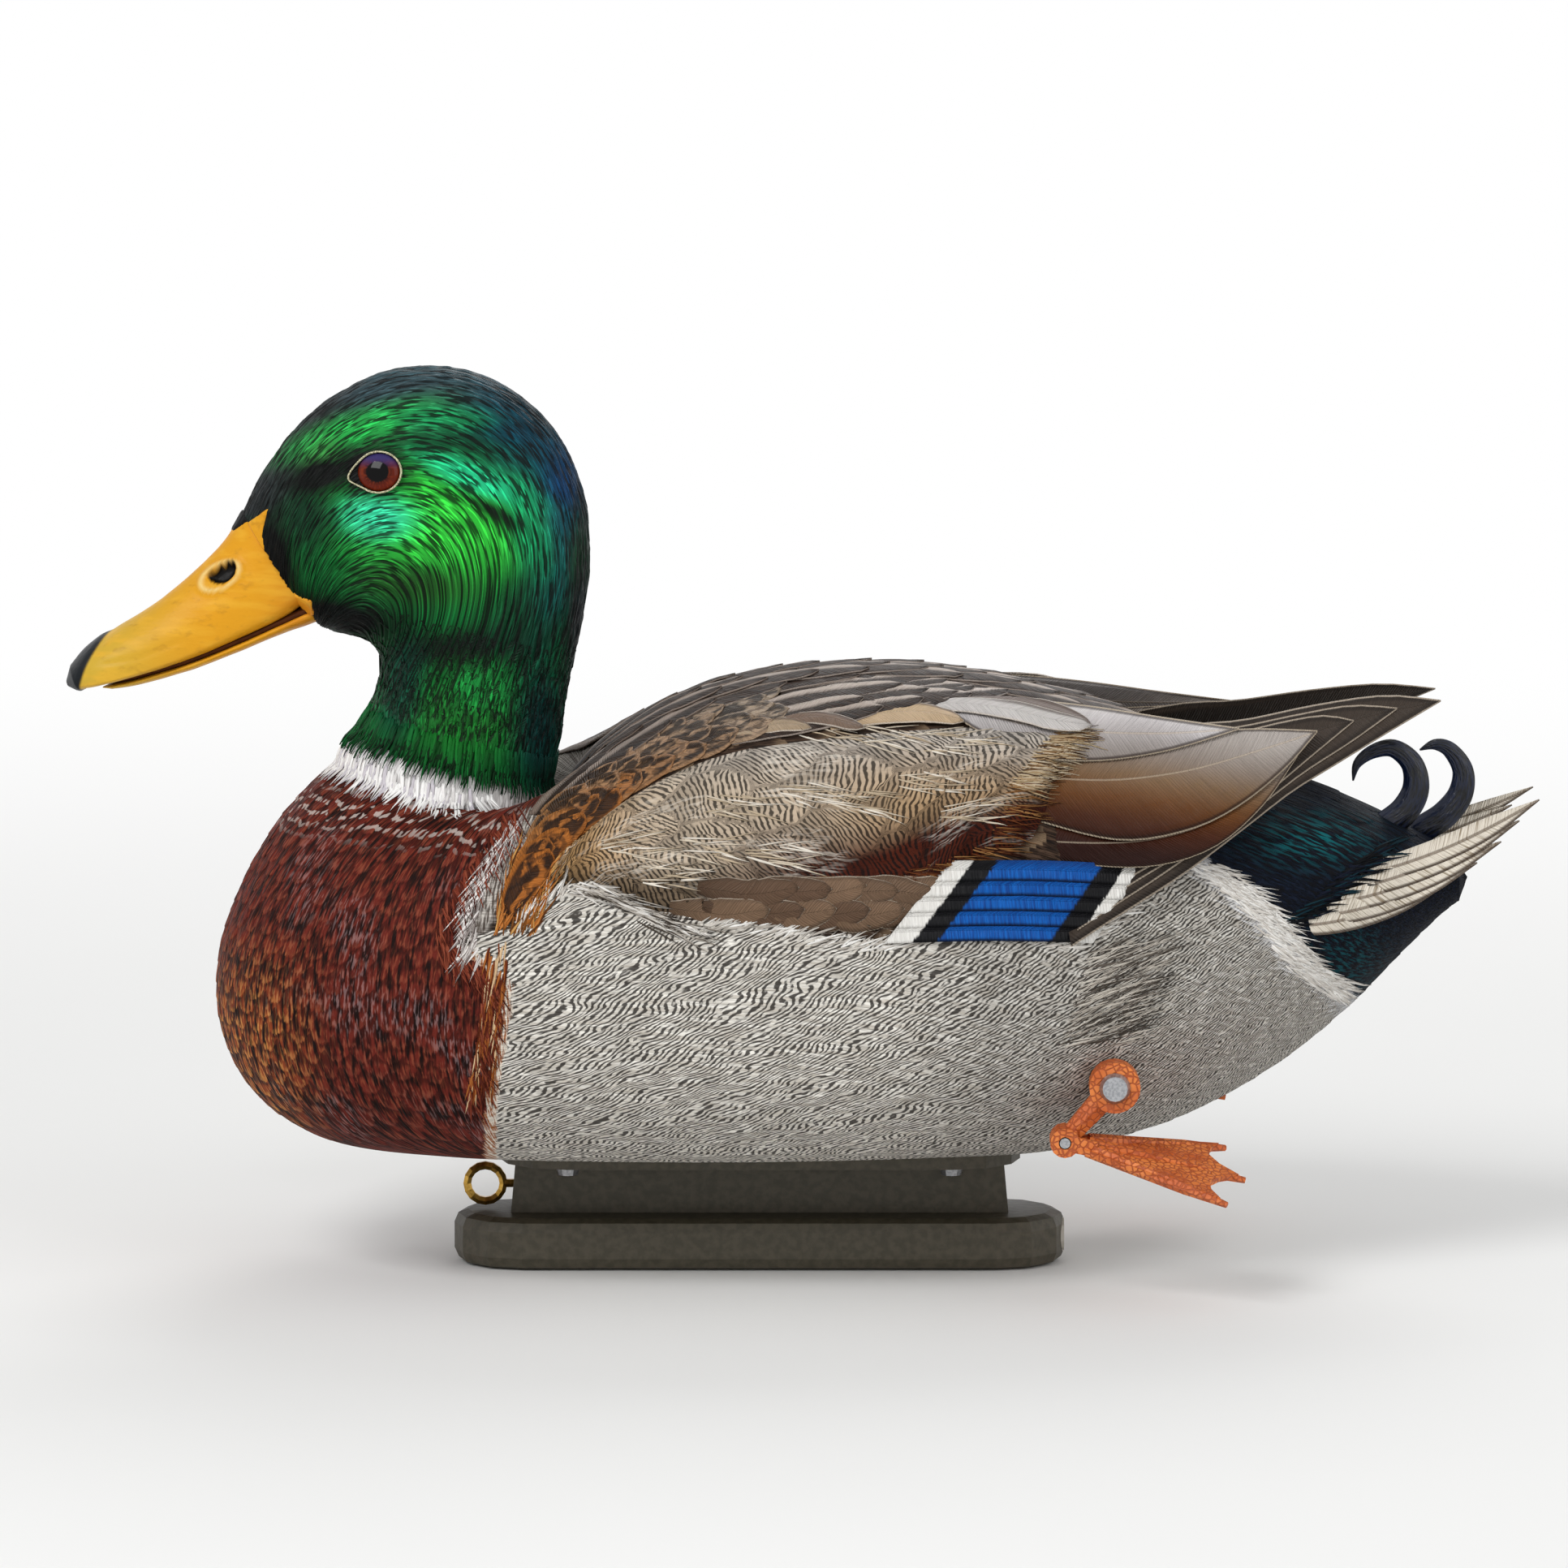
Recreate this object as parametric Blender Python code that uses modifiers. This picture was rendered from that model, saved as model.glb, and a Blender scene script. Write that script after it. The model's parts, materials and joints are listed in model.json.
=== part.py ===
"""Floating mallard drake decoy, modelled as the pieces it comes apart into.

Metres, +Z up. The bill points along -X, the drake's left side faces -Y, and the origin lies
under the middle of the decoy, in the plane of the keel's flat foot.
"""

import math

import bmesh
import bpy
from mathutils import Matrix, Vector
from mathutils.bvhtree import BVHTree

MM = 0.001

# Fits and walls
FIT_GAP = 0.3 * MM
SEAM_GAP = 0.4 * MM
SKIN = 3.0 * MM
CORE_GAP = 0.7 * MM

# Main sizes: how deep the keel holds the hull's floor, the body's and the head's greatest widths
FLOOR_Z = 35.0 * MM
FLOOR_BLEND = 0.6 * MM
BEAM = 160.0 * MM
HEAD_WIDTH = 53.0 * MM

# Neck swivel: the axis leans back from the vertical, and the collar sits on it
NECK_TILT = math.radians(14.5)
COLLAR_X = -101.3 * MM
COLLAR_Z = FLOOR_Z + 106.8 * MM
COLLAR_HEIGHT = 9.0 * MM
COLLAR_RADIUS = 31.0 * MM
COLLAR_BULGE = 0.8 * MM
NECK_RADIUS = 29.5 * MM
SEAT_RADIUS = 31.5 * MM
SEAT_WALL = 4.0 * MM
STEM_RADIUS = 8.0 * MM
STEM_IN_HEAD = 30.0 * MM
STEM_FLANGE_RADIUS = 13.0 * MM
STEM_FLANGE = 3.0 * MM
THREAD_RADIUS = 6.0 * MM
BUSH_WALL = 3.0 * MM
BUSH_FLANGE_RADIUS = 14.0 * MM
BUSH_FLANGE = 3.0 * MM
SPRING_WIRE = 1.0 * MM
SPRING_RADIUS = 10.6 * MM
SPRING_LENGTH = 12.0 * MM
SPRING_TURNS = 3.5
WASHER_RADIUS = 14.0 * MM
WASHER = 2.0 * MM
NUT_RADIUS = 11.0 * MM
NUT_HEIGHT = 9.0 * MM
THREAD_PAST_NUT = 2.5 * MM
POCKET_DEPTH = 3.0 * MM

# Body lines
BREAST_SEAM_TOP = (-64.0 * MM, FLOOR_Z + 109.0 * MM)
BREAST_SEAM_FOOT = (-93.0 * MM, FLOOR_Z - 5.0 * MM)
FLANK_SEAM_Z = FLOOR_Z + 75.0 * MM
RUMP_SEAM_TOP = (90.0 * MM, FLOOR_Z + 122.0 * MM)
RUMP_SEAM_FOOT = (172.0 * MM, FLOOR_Z + 27.0 * MM)

# Each row is one section of the body, from the neck seat round the breast to the stern:
# top x and level, bottom x and level, half width as a share of half the beam, share of the height
# above the widest level, roundness of the upper and the lower half (2 is an ellipse). Lengths are
# in mm, and levels are measured from the hull's floor.
BODY_LINES = [
    (-68.5, 99.5, -141.0, 103.5, 0.450, 0.50, 2.0, 2.0),
    (-65.0, 104.5, -151.0, 91.5, 0.537, 0.50, 2.0, 2.0),
    (-61.0, 109.5, -160.5, 75.0, 0.637, 0.50, 2.0, 2.0),
    (-56.5, 114.0, -167.0, 56.0, 0.731, 0.51, 2.0, 2.0),
    (-51.0, 118.0, -167.0, 35.0, 0.812, 0.52, 2.0, 2.0),
    (-44.0, 122.5, -157.0, 15.0, 0.881, 0.54, 2.0, 2.1),
    (-34.0, 127.5, -135.0, 2.0, 0.938, 0.56, 2.0, 2.3),
    (-20.0, 132.0, -100.0, -2.0, 0.975, 0.58, 2.1, 2.5),
    (0.0, 135.5, -58.0, -3.0, 0.995, 0.59, 2.1, 2.6),
    (25.0, 136.5, -10.0, -3.0, 1.000, 0.60, 2.1, 2.6),
    (52.0, 133.5, 35.0, -2.5, 0.969, 0.60, 2.1, 2.4),
    (80.0, 127.0, 72.0, -1.0, 0.894, 0.59, 2.1, 2.2),
    (105.0, 119.0, 105.0, 7.0, 0.781, 0.57, 2.0, 2.1),
    (128.0, 111.0, 133.0, 21.0, 0.650, 0.55, 2.0, 2.0),
    (148.0, 103.5, 155.0, 38.0, 0.512, 0.52, 2.0, 2.0),
    (166.0, 95.5, 170.0, 53.0, 0.369, 0.50, 2.0, 2.0),
    (180.0, 88.0, 181.0, 64.0, 0.237, 0.50, 2.0, 2.0),
    (188.0, 83.0, 188.5, 70.0, 0.138, 0.50, 2.0, 2.0),
]
NECK_BLOCK_ROWS = 5
NECK_BLOCK_DROP = 7.0 * MM
STERN_TIP = (191.0 * MM, FLOOR_Z + 76.5 * MM)

# The head's sections, from above the collar round the crown to the face behind the bill:
# back x and level, front x and level, half width as a share of half the head's width, share behind
# the widest level, two roundnesses.
HEAD_LINES = [
    (-69.3, 117.0, -124.0, 125.5, 1.019, 0.50, 2.0, 2.0),
    (-66.8, 133.0, -121.2, 132.5, 0.962, 0.50, 2.0, 2.0),
    (-63.0, 150.0, -120.3, 138.5, 0.951, 0.50, 2.0, 2.0),
    (-60.6, 168.0, -121.0, 142.0, 0.966, 0.50, 2.0, 2.0),
    (-62.5, 188.0, -123.3, 144.7, 0.989, 0.52, 2.0, 2.1),
    (-72.5, 208.0, -126.6, 146.3, 1.000, 0.54, 2.0, 2.2),
    (-91.5, 221.3, -130.3, 147.2, 0.981, 0.55, 2.1, 2.3),
    (-114.0, 223.2, -133.7, 148.0, 0.928, 0.56, 2.1, 2.3),
    (-133.0, 215.6, -136.4, 149.0, 0.830, 0.57, 2.1, 2.2),
    (-146.0, 204.0, -138.2, 150.0, 0.702, 0.58, 2.1, 2.1),
    (-154.5, 192.0, -139.4, 151.0, 0.566, 0.58, 2.1, 2.0),
    (-159.3, 182.5, -140.0, 152.0, 0.453, 0.58, 2.1, 2.0),
]

# Bill sections, base to tip, in the same columns, with the half width in mm
UPPER_BILL_LINES = [
    (-159.8, 182.2, -142.8, 155.4, 11.8, 0.80, 2.0, 3.0),
    (-165.0, 173.8, -149.0, 151.2, 11.4, 0.80, 2.0, 3.0),
    (-174.0, 164.6, -161.0, 145.8, 11.2, 0.82, 2.1, 3.2),
    (-185.6, 155.2, -174.5, 140.4, 11.8, 0.84, 2.2, 3.4),
    (-196.6, 148.4, -189.0, 135.9, 12.8, 0.86, 2.4, 3.6),
    (-204.2, 142.8, -200.0, 132.9, 11.8, 0.84, 2.4, 3.2),
    (-208.6, 137.6, -206.2, 131.3, 8.0, 0.70, 2.2, 2.6),
]
BILL_TIP = (-210.0 * MM, FLOOR_Z + 132.6 * MM)
LOWER_BILL_LINES = [
    (-142.0, 154.0, -140.5, 149.9, 9.4, 0.30, 3.0, 2.0),
    (-149.4, 150.4, -150.4, 146.4, 9.6, 0.30, 3.0, 2.0),
    (-161.2, 145.0, -161.8, 141.6, 9.2, 0.30, 3.0, 2.0),
    (-174.7, 139.6, -175.0, 136.6, 9.4, 0.30, 3.0, 2.0),
    (-189.0, 135.1, -189.2, 132.6, 9.2, 0.30, 3.0, 2.0),
    (-197.0, 132.8, -197.2, 131.2, 6.4, 0.30, 3.0, 2.0),
]
LOWER_BILL_TIP = (-200.5 * MM, FLOOR_Z + 131.4 * MM)
TENON_LENGTH = 13.0 * MM
TENON_WIDTH = 11.0 * MM
TENON_HEIGHT = 13.0 * MM
TENON_ROOT = 7.0 * MM
NOSTRIL_X = -170.6 * MM
NOSTRIL_Z = FLOOR_Z + 163.6 * MM
NOSTRIL_LENGTH = 8.0 * MM
NOSTRIL_HEIGHT = 3.6 * MM
NOSTRIL_DEPTH = 2.0 * MM
NOSTRIL_PITCH = math.radians(28.0)

# Glass eyes
EYE_X = -119.8 * MM
EYE_Z = FLOOR_Z + 196.0 * MM
EYE_RADIUS = 6.4 * MM
EYE_PROUD = 2.2 * MM

# Wing pieces on the left side, as upper and lower edges seen from the side: x, level and the least
# distance from the middle plane, front to rear, in mm. Each piece lies on the body where the body
# is wider than that.
WING_PANEL_UPPER = [
    (-77.0, 82.0, 0.0), (-66.0, 94.0, 0.0), (-48.0, 108.0, 0.0), (-25.0, 118.5, 0.0),
    (3.0, 123.5, 0.0), (42.0, 126.0, 0.0), (79.0, 123.0, 34.0),
]
WING_PANEL_LOWER = [
    (-80.0, 78.0, 0.0), (-60.0, 76.5, 0.0), (-35.0, 76.0, 0.0), (-5.0, 74.0, 0.0),
    (24.0, 72.5, 0.0), (46.0, 90.0, 0.0), (63.0, 93.5, 0.0),
]
SPECULUM_UPPER = [(48.5, 88.5, 0.0), (64.0, 89.5, 0.0), (79.0, 89.0, 0.0), (93.0, 87.5, 0.0)]
SPECULUM_LOWER = [(27.5, 72.0, 0.0), (46.0, 71.0, 0.0), (63.0, 70.0, 0.0), (79.5, 69.5, 0.0)]
TERTIAL_UPPER = [
    (82.0, 123.5, 34.0), (98.0, 125.5, 31.0), (113.0, 126.0, 29.0), (128.0, 125.5, 27.0),
    (138.0, 124.5, 26.0), (146.0, 122.5, 26.0),
]
TERTIAL_LOWER = [
    (66.0, 92.0, 0.0), (80.0, 90.0, 64.0), (97.0, 88.5, 62.0), (116.0, 92.0, 55.0),
    (131.0, 103.0, 44.0), (146.0, 122.0, 26.5),
]
PRIMARY_UPPER = [
    (97.5, 86.5, 0.0), (108.0, 102.0, 46.0), (121.0, 115.0, 34.0), (136.0, 123.0, 24.0),
    (151.0, 127.5, 20.0), (167.0, 130.5, 18.0), (182.0, 130.5, 17.0),
]
PRIMARY_LOWER = [
    (84.0, 69.5, 0.0), (103.0, 78.5, 0.0), (120.0, 89.0, 50.0), (136.0, 103.5, 40.0),
    (153.0, 117.5, 30.0), (168.0, 125.5, 23.0), (182.0, 130.0, 17.5),
]
WING_PANEL_THICK = 4.5 * MM
SPECULUM_THICK = 2.2 * MM
TERTIAL_THICK = 2.4 * MM
PRIMARY_THICK = 1.6 * MM
TERTIAL_LIFT = 2.4 * MM
FEATHER_EDGE = 0.8 * MM
FEATHER_SEAT = 1.0 * MM
SEAT_BLEND = 3.0 * MM

# White outer tail feathers on the left, in the same columns
TAIL_UPPER = [
    (150.0, 77.0, 0.0), (161.0, 85.5, 0.0), (173.0, 90.5, 17.0), (187.0, 94.0, 13.0),
    (199.0, 97.5, 12.5), (210.0, 101.5, 12.0),
]
TAIL_LOWER = [
    (142.0, 69.0, 0.0), (157.0, 70.5, 0.0), (172.0, 75.0, 0.0), (186.0, 82.5, 22.0),
    (199.0, 92.0, 17.5), (210.0, 101.0, 12.5),
]
TAIL_THICK = 1.8 * MM

# Curled tail coverts: route x, level and half thickness in mm, root first, and their side offsets
FRONT_CURL = [
    (150.0, 91.0, 2.4), (157.0, 96.5, 2.8), (163.5, 99.6, 3.4), (171.0, 102.0, 3.3), (176.0, 107.5, 3.0),
    (175.2, 113.4, 2.6), (169.6, 116.4, 2.2), (163.6, 114.4, 1.7), (160.2, 109.6, 1.2),
    (159.4, 106.4, 0.7),
]
REAR_CURL = [
    (161.0, 85.0, 2.4), (168.0, 91.5, 2.8), (175.0, 94.9, 3.4), (184.0, 97.0, 3.3), (190.4, 103.0, 3.0),
    (191.4, 110.0, 2.6), (187.4, 115.6, 2.1), (181.6, 116.2, 1.5), (178.6, 114.4, 0.8),
]
CURL_OFFSET = 4.6 * MM

# Keel
KEEL_CENTRE_X = -12.0 * MM
KEEL_LENGTH = 176.0 * MM
KEEL_WIDTH = 40.0 * MM
KEEL_WEB = 14.0 * MM
KEEL_BULB = 15.0 * MM
KEEL_FLANGE = 5.0 * MM
KEEL_FLANGE_LENGTH = 150.0 * MM
KEEL_RAKE = 16.0 * MM
BALLAST_RADIUS = 4.8 * MM
BALLAST_LENGTH = 118.0 * MM
PLUG_LENGTH = 8.0 * MM
SCREW_SPREAD_X = 110.0 * MM
SCREW_SPREAD_Y = 26.0 * MM
SCREW_RADIUS = 1.8 * MM
SCREW_HEAD_RADIUS = 3.6 * MM
SCREW_HEAD = 2.2 * MM
SCREW_GRIP = 11.0 * MM
BOSS_RADIUS = 5.0 * MM
BOSS_PAST_SCREW = 2.0 * MM
EYE_RING_RADIUS = 5.2 * MM
EYE_RING_WIRE = 1.3 * MM
EYE_SHANK = 12.0 * MM
EYE_HEIGHT = 22.4 * MM

# Legs
HIP_X = 88.0 * MM
HIP_Z = FLOOR_Z + 27.5 * MM
HIP_CLEARANCE = 1.0 * MM
HIP_BOSS_RADIUS = 9.0 * MM
HIP_BOSS_DEPTH = 16.0 * MM
HUB_RADIUS = 7.2 * MM
HUB_WIDTH = 8.0 * MM
HIP_PIN_RADIUS = 2.5 * MM
HIP_PIN_HEAD = 1.6 * MM
HIP_PIN_HEAD_RADIUS = 4.4 * MM
HIP_PIN_GRIP = 12.0 * MM
ANKLE_X = -14.0 * MM
ANKLE_Z = -15.5 * MM
SHANK_RADIUS = 3.4 * MM
ANKLE_RADIUS = 4.2 * MM
ANKLE_WIDTH = 5.0 * MM
EAR_WIDTH = 2.4 * MM
ANKLE_PIN_RADIUS = 1.5 * MM
FOOT_LENGTH = 50.0 * MM
FOOT_HALF_WIDTH = 19.0 * MM
FOOT_PITCH = math.radians(12.0)
FOOT_ROLL = math.radians(14.0)
WEB_THICK = 1.6 * MM
TOE_RADIUS = 2.2 * MM

# Mesh densities
BODY_SIDES = 22
INNER_SIDES = 14
HEAD_SIDES = 20
BILL_SIDES = 16
TURN_STEPS = 22
SMALL_STEPS = 14

FAR = 0.5
QUARTER_TURN = math.radians(90.0)

UP_NECK = Vector((math.sin(NECK_TILT), 0.0, math.cos(NECK_TILT)))
BACK_OF_NECK = Vector((math.cos(NECK_TILT), 0.0, -math.sin(NECK_TILT)))
COLLAR_TOP = Vector((COLLAR_X, 0.0, COLLAR_Z)) + UP_NECK * COLLAR_HEIGHT / 2
SEAT_HEIGHT = -COLLAR_HEIGHT - FIT_GAP
WALL_BOTTOM = SEAT_HEIGHT - SEAT_WALL
BUSH_BOTTOM = WALL_BOTTOM - FIT_GAP - BUSH_FLANGE
SPRING_TOP = BUSH_BOTTOM - FIT_GAP
WASHER_TOP = SPRING_TOP - SPRING_LENGTH - FIT_GAP
NUT_TOP = WASHER_TOP - WASHER - FIT_GAP
STEM_END = NUT_TOP - NUT_HEIGHT - THREAD_PAST_NUT

parts = bpy.data.collections.new("duck_decoy")
cutters = bpy.data.collections.new("duck_decoy_cutters")


# Scene and materials


def clear_scene():
    for obj in list(bpy.data.objects):
        bpy.data.objects.remove(obj, do_unlink=True)
    for collection in (parts, cutters):
        bpy.context.scene.collection.children.link(collection)


def paint(name, colour, roughness=0.5, metallic=0.0):
    material = bpy.data.materials.new(name)
    material.use_nodes = True
    shader = material.node_tree.nodes["Principled BSDF"]
    shader.inputs["Base Color"].default_value = (*colour, 1.0)
    shader.inputs["Roughness"].default_value = roughness
    shader.inputs["Metallic"].default_value = metallic
    return material


def make_object(name, mesh, material=None, parent=None):
    """A piece of the decoy, or with no material a cutter that stays out of it."""
    obj = bpy.data.objects.new(name, mesh)
    if material is None:
        cutters.objects.link(obj)
        obj.hide_render = True
        obj.display_type = "WIRE"
    else:
        parts.objects.link(obj)
        mesh.materials.append(material)
        if hasattr(mesh, "shade_smooth"):
            mesh.shade_smooth()
            mesh.set_sharp_from_angle(angle=math.radians(40.0))
    obj.parent = parent
    return obj


def make_empty(name, place, turn=None):
    empty = bpy.data.objects.new(name, None)
    parts.objects.link(empty)
    empty.location = place
    if turn is not None:
        empty.rotation_euler = turn
    return empty


def mesh_from(name, bm):
    bmesh.ops.recalc_face_normals(bm, faces=bm.faces)
    mesh = bpy.data.meshes.new(name)
    bm.to_mesh(mesh)
    bm.free()
    return mesh


def boolean(target, other, operation):
    modifier = target.modifiers.new(f"{operation.lower()} {other.name}", "BOOLEAN")
    modifier.operation = operation
    modifier.object = other


def cut(target, *others):
    for other in others:
        boolean(target, other, "DIFFERENCE")


def join(target, *others):
    for other in others:
        boolean(target, other, "UNION")


def mirrored(obj, name):
    """The right-hand twin of a left-hand piece."""
    mesh = obj.data.copy()
    mesh.name = name
    mesh.transform(Matrix.Scale(-1.0, 4, (0.0, 1.0, 0.0)))
    mesh.flip_normals()
    twin = bpy.data.objects.new(name, mesh)
    (parts if obj.name in parts.objects else cutters).objects.link(twin)
    twin.hide_render, twin.display_type = obj.hide_render, obj.display_type
    twin.location = Vector(obj.location) * Vector((1.0, -1.0, 1.0))
    return twin


# Shapes


def section_rows(lines, width=MM):
    """Loft rows in metres, with levels from the ground. The width column is in mm, or a share of width."""
    rows = []
    for back, high, front, low, half_width, *form in lines:
        ends = back * MM, FLOOR_Z + high * MM, front * MM, FLOOR_Z + low * MM
        rows.append((*ends, half_width * width, *form))
    return rows


def edge_rows(lines):
    """Side-view rows in metres: x, level from the ground, and one more length."""
    return [(x * MM, FLOOR_Z + level * MM, other * MM) for x, level, other in lines]


def smooth_rows(rows, per_span):
    """Rows read from a smooth curve through the given rows, per_span to each stretch."""
    last = len(rows) - 1
    read = []
    for i in range(last):
        around = rows[max(i - 1, 0)], rows[i], rows[i + 1], rows[min(i + 2, last)]
        for k in range(per_span):
            t = k / per_span
            read.append(tuple(
                0.5 * (2 * b + (c - a) * t + (2 * a - 5 * b + 4 * c - d) * t**2
                       + (3 * b - a - 3 * c + d) * t**3)
                for a, b, c, d in zip(*around)
            ))
    return read + [tuple(rows[last])]


def swollen(rows, grow):
    """Loft rows moved outwards by grow: the ends along the profile's normals, the width by itself."""
    moved = []
    last = len(rows) - 1
    for i, row in enumerate(rows):
        before, after = rows[max(i - 1, 0)], rows[min(i + 1, last)]
        top = Vector((after[0] - before[0], after[1] - before[1])).normalized() * grow
        bottom = Vector((after[2] - before[2], after[3] - before[3])).normalized() * grow
        ends = row[0] - top.y, row[1] + top.x, row[2] + bottom.y, row[3] - bottom.x
        moved.append((*ends, row[4] + grow, *row[5:]))
    return moved


def section(row, sides):
    """One ring of a loft, in the plane through its two ends and Y."""
    half_width, share, round_top, round_bottom = row[4:8]
    top = Vector((row[0], 0.0, row[1]))
    bottom = Vector((row[2], 0.0, row[3]))
    rise = top - bottom
    middle = top - rise * share
    ring = []
    for i in range(sides):
        angle = math.tau * i / sides
        c, s = math.cos(angle), math.sin(angle)
        power = 2.0 / (round_top if c >= 0 else round_bottom)
        height = math.copysign(abs(c) ** power, c) * (share if c >= 0 else 1.0 - share)
        side = math.copysign(abs(s) ** power, s) * half_width
        ring.append(middle + rise * height + Vector((0.0, side, 0.0)))
    return ring


def loft(rings, tip=None):
    """A closed surface over rings of equal count, flat at its start and flat or pointed at its end."""
    bm = bmesh.new()
    loops = [[bm.verts.new(point) for point in ring] for ring in rings]
    count = len(loops[0])
    for a, b in zip(loops, loops[1:]):
        for i in range(count):
            near, far = (i, (i + 1) % count) if i < count // 2 else ((i + 1) % count, i)
            bm.faces.new((a[near], a[far], b[far]))
            bm.faces.new((a[near], b[far], b[near]))
    bm.faces.new(loops[0])
    if tip is None:
        bm.faces.new(loops[-1])
    else:
        point = bm.verts.new(tip)
        for i in range(count):
            bm.faces.new((loops[-1][i], loops[-1][(i + 1) % count], point))
    return bm


def slab(inner, outer):
    """A closed plate between two grids of points, with walls round its edge."""
    bm = bmesh.new()
    rows, columns = len(inner), len(inner[0])
    low = [[bm.verts.new(p) for p in row] for row in inner]
    high = [[bm.verts.new(p) for p in row] for row in outer]
    for i in range(rows - 1):
        for j in range(columns - 1):
            for grid in (low, high):
                bm.faces.new((grid[i][j], grid[i + 1][j], grid[i + 1][j + 1], grid[i][j + 1]))
    edge = [(i, 0) for i in range(rows)] + [(rows - 1, j) for j in range(1, columns)]
    edge += [(i, columns - 1) for i in range(rows - 2, -1, -1)]
    edge += [(0, j) for j in range(columns - 2, 0, -1)]
    for (i, j), (k, m) in zip(edge, edge[1:] + edge[:1]):
        bm.faces.new((low[i][j], low[k][m], high[k][m], high[i][j]))
    bmesh.ops.remove_doubles(bm, verts=bm.verts, dist=0.02 * MM)
    return bm


def turned(name, profile, material=None, parent=None, ring=False, steps=TURN_STEPS):
    """A turned piece about its own Z. The profile is (radius, height) down the outer side."""
    mesh = bpy.data.meshes.new(name)
    points = [(radius, 0.0, height) for radius, height in profile]
    edges = [(i, i + 1) for i in range(len(points) - 1)]
    mesh.from_pydata(points, edges + ([(len(points) - 1, 0)] if ring else []), [])
    obj = make_object(name, mesh, material, parent)
    screw = obj.modifiers.new("turn", "SCREW")
    screw.steps = screw.render_steps = steps
    screw.use_merge_vertices = True
    screw.merge_threshold = 0.01 * MM
    screw.use_smooth_shade = True
    return obj


def cylinder(name, radius, low, high, material=None, parent=None, steps=SMALL_STEPS):
    """A round bar along its own Z."""
    profile = [(0.0, high), (radius, high), (radius, low), (0.0, low)]
    return turned(name, profile, material, parent, steps=steps)


def box(name, size, centre, turn=None, material=None):
    bm = bmesh.new()
    bmesh.ops.create_cube(bm, size=1.0)
    bmesh.ops.scale(bm, vec=size, verts=bm.verts)
    obj = make_object(name, mesh_from(name, bm), material)
    obj.location = centre
    if turn is not None:
        obj.rotation_euler = turn
    return obj


def prism(name, outline, half_depth):
    """A cutter: an outline seen from the side, x and z, swept along Y."""
    bm = bmesh.new()
    face = bm.faces.new([bm.verts.new((x, -half_depth, z)) for x, z in outline])
    swept = bmesh.ops.extrude_face_region(bm, geom=[face])["geom"]
    moved = [v for v in swept if isinstance(v, bmesh.types.BMVert)]
    bmesh.ops.translate(bm, vec=(0.0, 2 * half_depth, 0.0), verts=moved)
    return make_object(name, mesh_from(name, bm))


def tube(name, points, radii, material=None, resolution=1, cyclic=False):
    """A round bar of changing thickness along points, with filled ends."""
    curve = bpy.data.curves.new(name, "CURVE")
    curve.dimensions = "3D"
    curve.bevel_depth = 1.0
    curve.bevel_resolution = resolution
    curve.use_fill_caps = True
    spline = curve.splines.new("POLY")
    spline.points.add(len(points) - 1)
    spline.use_cyclic_u = cyclic
    for point, place, radius in zip(spline.points, points, radii):
        point.co = (*place, 1.0)
        point.radius = radius
    return make_object(name, curve, material)


def as_mesh(curve_obj, material=None):
    """The curve's solid as a mesh object of the same name, with its caps welded on."""
    bpy.context.view_layer.update()
    graph = bpy.context.evaluated_depsgraph_get()
    name, place = curve_obj.name, curve_obj.matrix_world.copy()
    mesh = bpy.data.meshes.new_from_object(curve_obj.evaluated_get(graph))
    bpy.data.objects.remove(curve_obj, do_unlink=True)
    bm = bmesh.new()
    bm.from_mesh(mesh)
    bmesh.ops.remove_doubles(bm, verts=bm.verts, dist=0.01 * MM)
    mesh.materials.clear()
    obj = make_object(name, mesh_from(name, bm), material)
    obj.matrix_world = place
    return obj


def half_plane(outline, point, normal):
    """The part of a side-view outline that lies on the normal's side of a line."""
    kept = []
    for a, b in zip(outline, outline[1:] + outline[:1]):
        da = (a[0] - point[0]) * normal[0] + (a[1] - point[1]) * normal[1]
        db = (b[0] - point[0]) * normal[0] + (b[1] - point[1]) * normal[1]
        if da >= 0:
            kept.append(a)
        if da * db < 0:
            t = da / (da - db)
            kept.append((a[0] + (b[0] - a[0]) * t, a[1] + (b[1] - a[1]) * t))
    return kept


# Body surface


def neck_ring(height, radius, sides):
    """A circle round the swivel axis, its height measured from the collar's top."""
    centre = COLLAR_TOP + UP_NECK * height
    ring = []
    for i in range(sides):
        angle = math.tau * i / sides
        side = Vector((0.0, math.sin(angle), 0.0))
        ring.append(centre + (BACK_OF_NECK * math.cos(angle) + side) * radius)
    return ring


def body_rings(rows, grow, sides):
    """Rings over the body's sections, flattened at the hull's floor."""
    rings = [section(row, sides) for row in swollen(rows, grow)]
    floor = FLOOR_Z - grow
    for ring, row in zip(rings, rows):
        for point, plain in zip(ring, section(row, sides)):
            point.z = floor if plain.z < FLOOR_Z + FLOOR_BLEND else max(point.z, floor)
    return rings


def body_outside():
    """The body's closed outer form, from its neck seat to the stern."""
    rings = body_rings(smooth_rows(section_rows(BODY_LINES, BEAM / 2), 2), 0.0, BODY_SIDES)
    rings.insert(0, neck_ring(SEAT_HEIGHT, SEAT_RADIUS, BODY_SIDES))
    return loft(rings, Vector((STERN_TIP[0], 0.0, STERN_TIP[1])))


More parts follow.
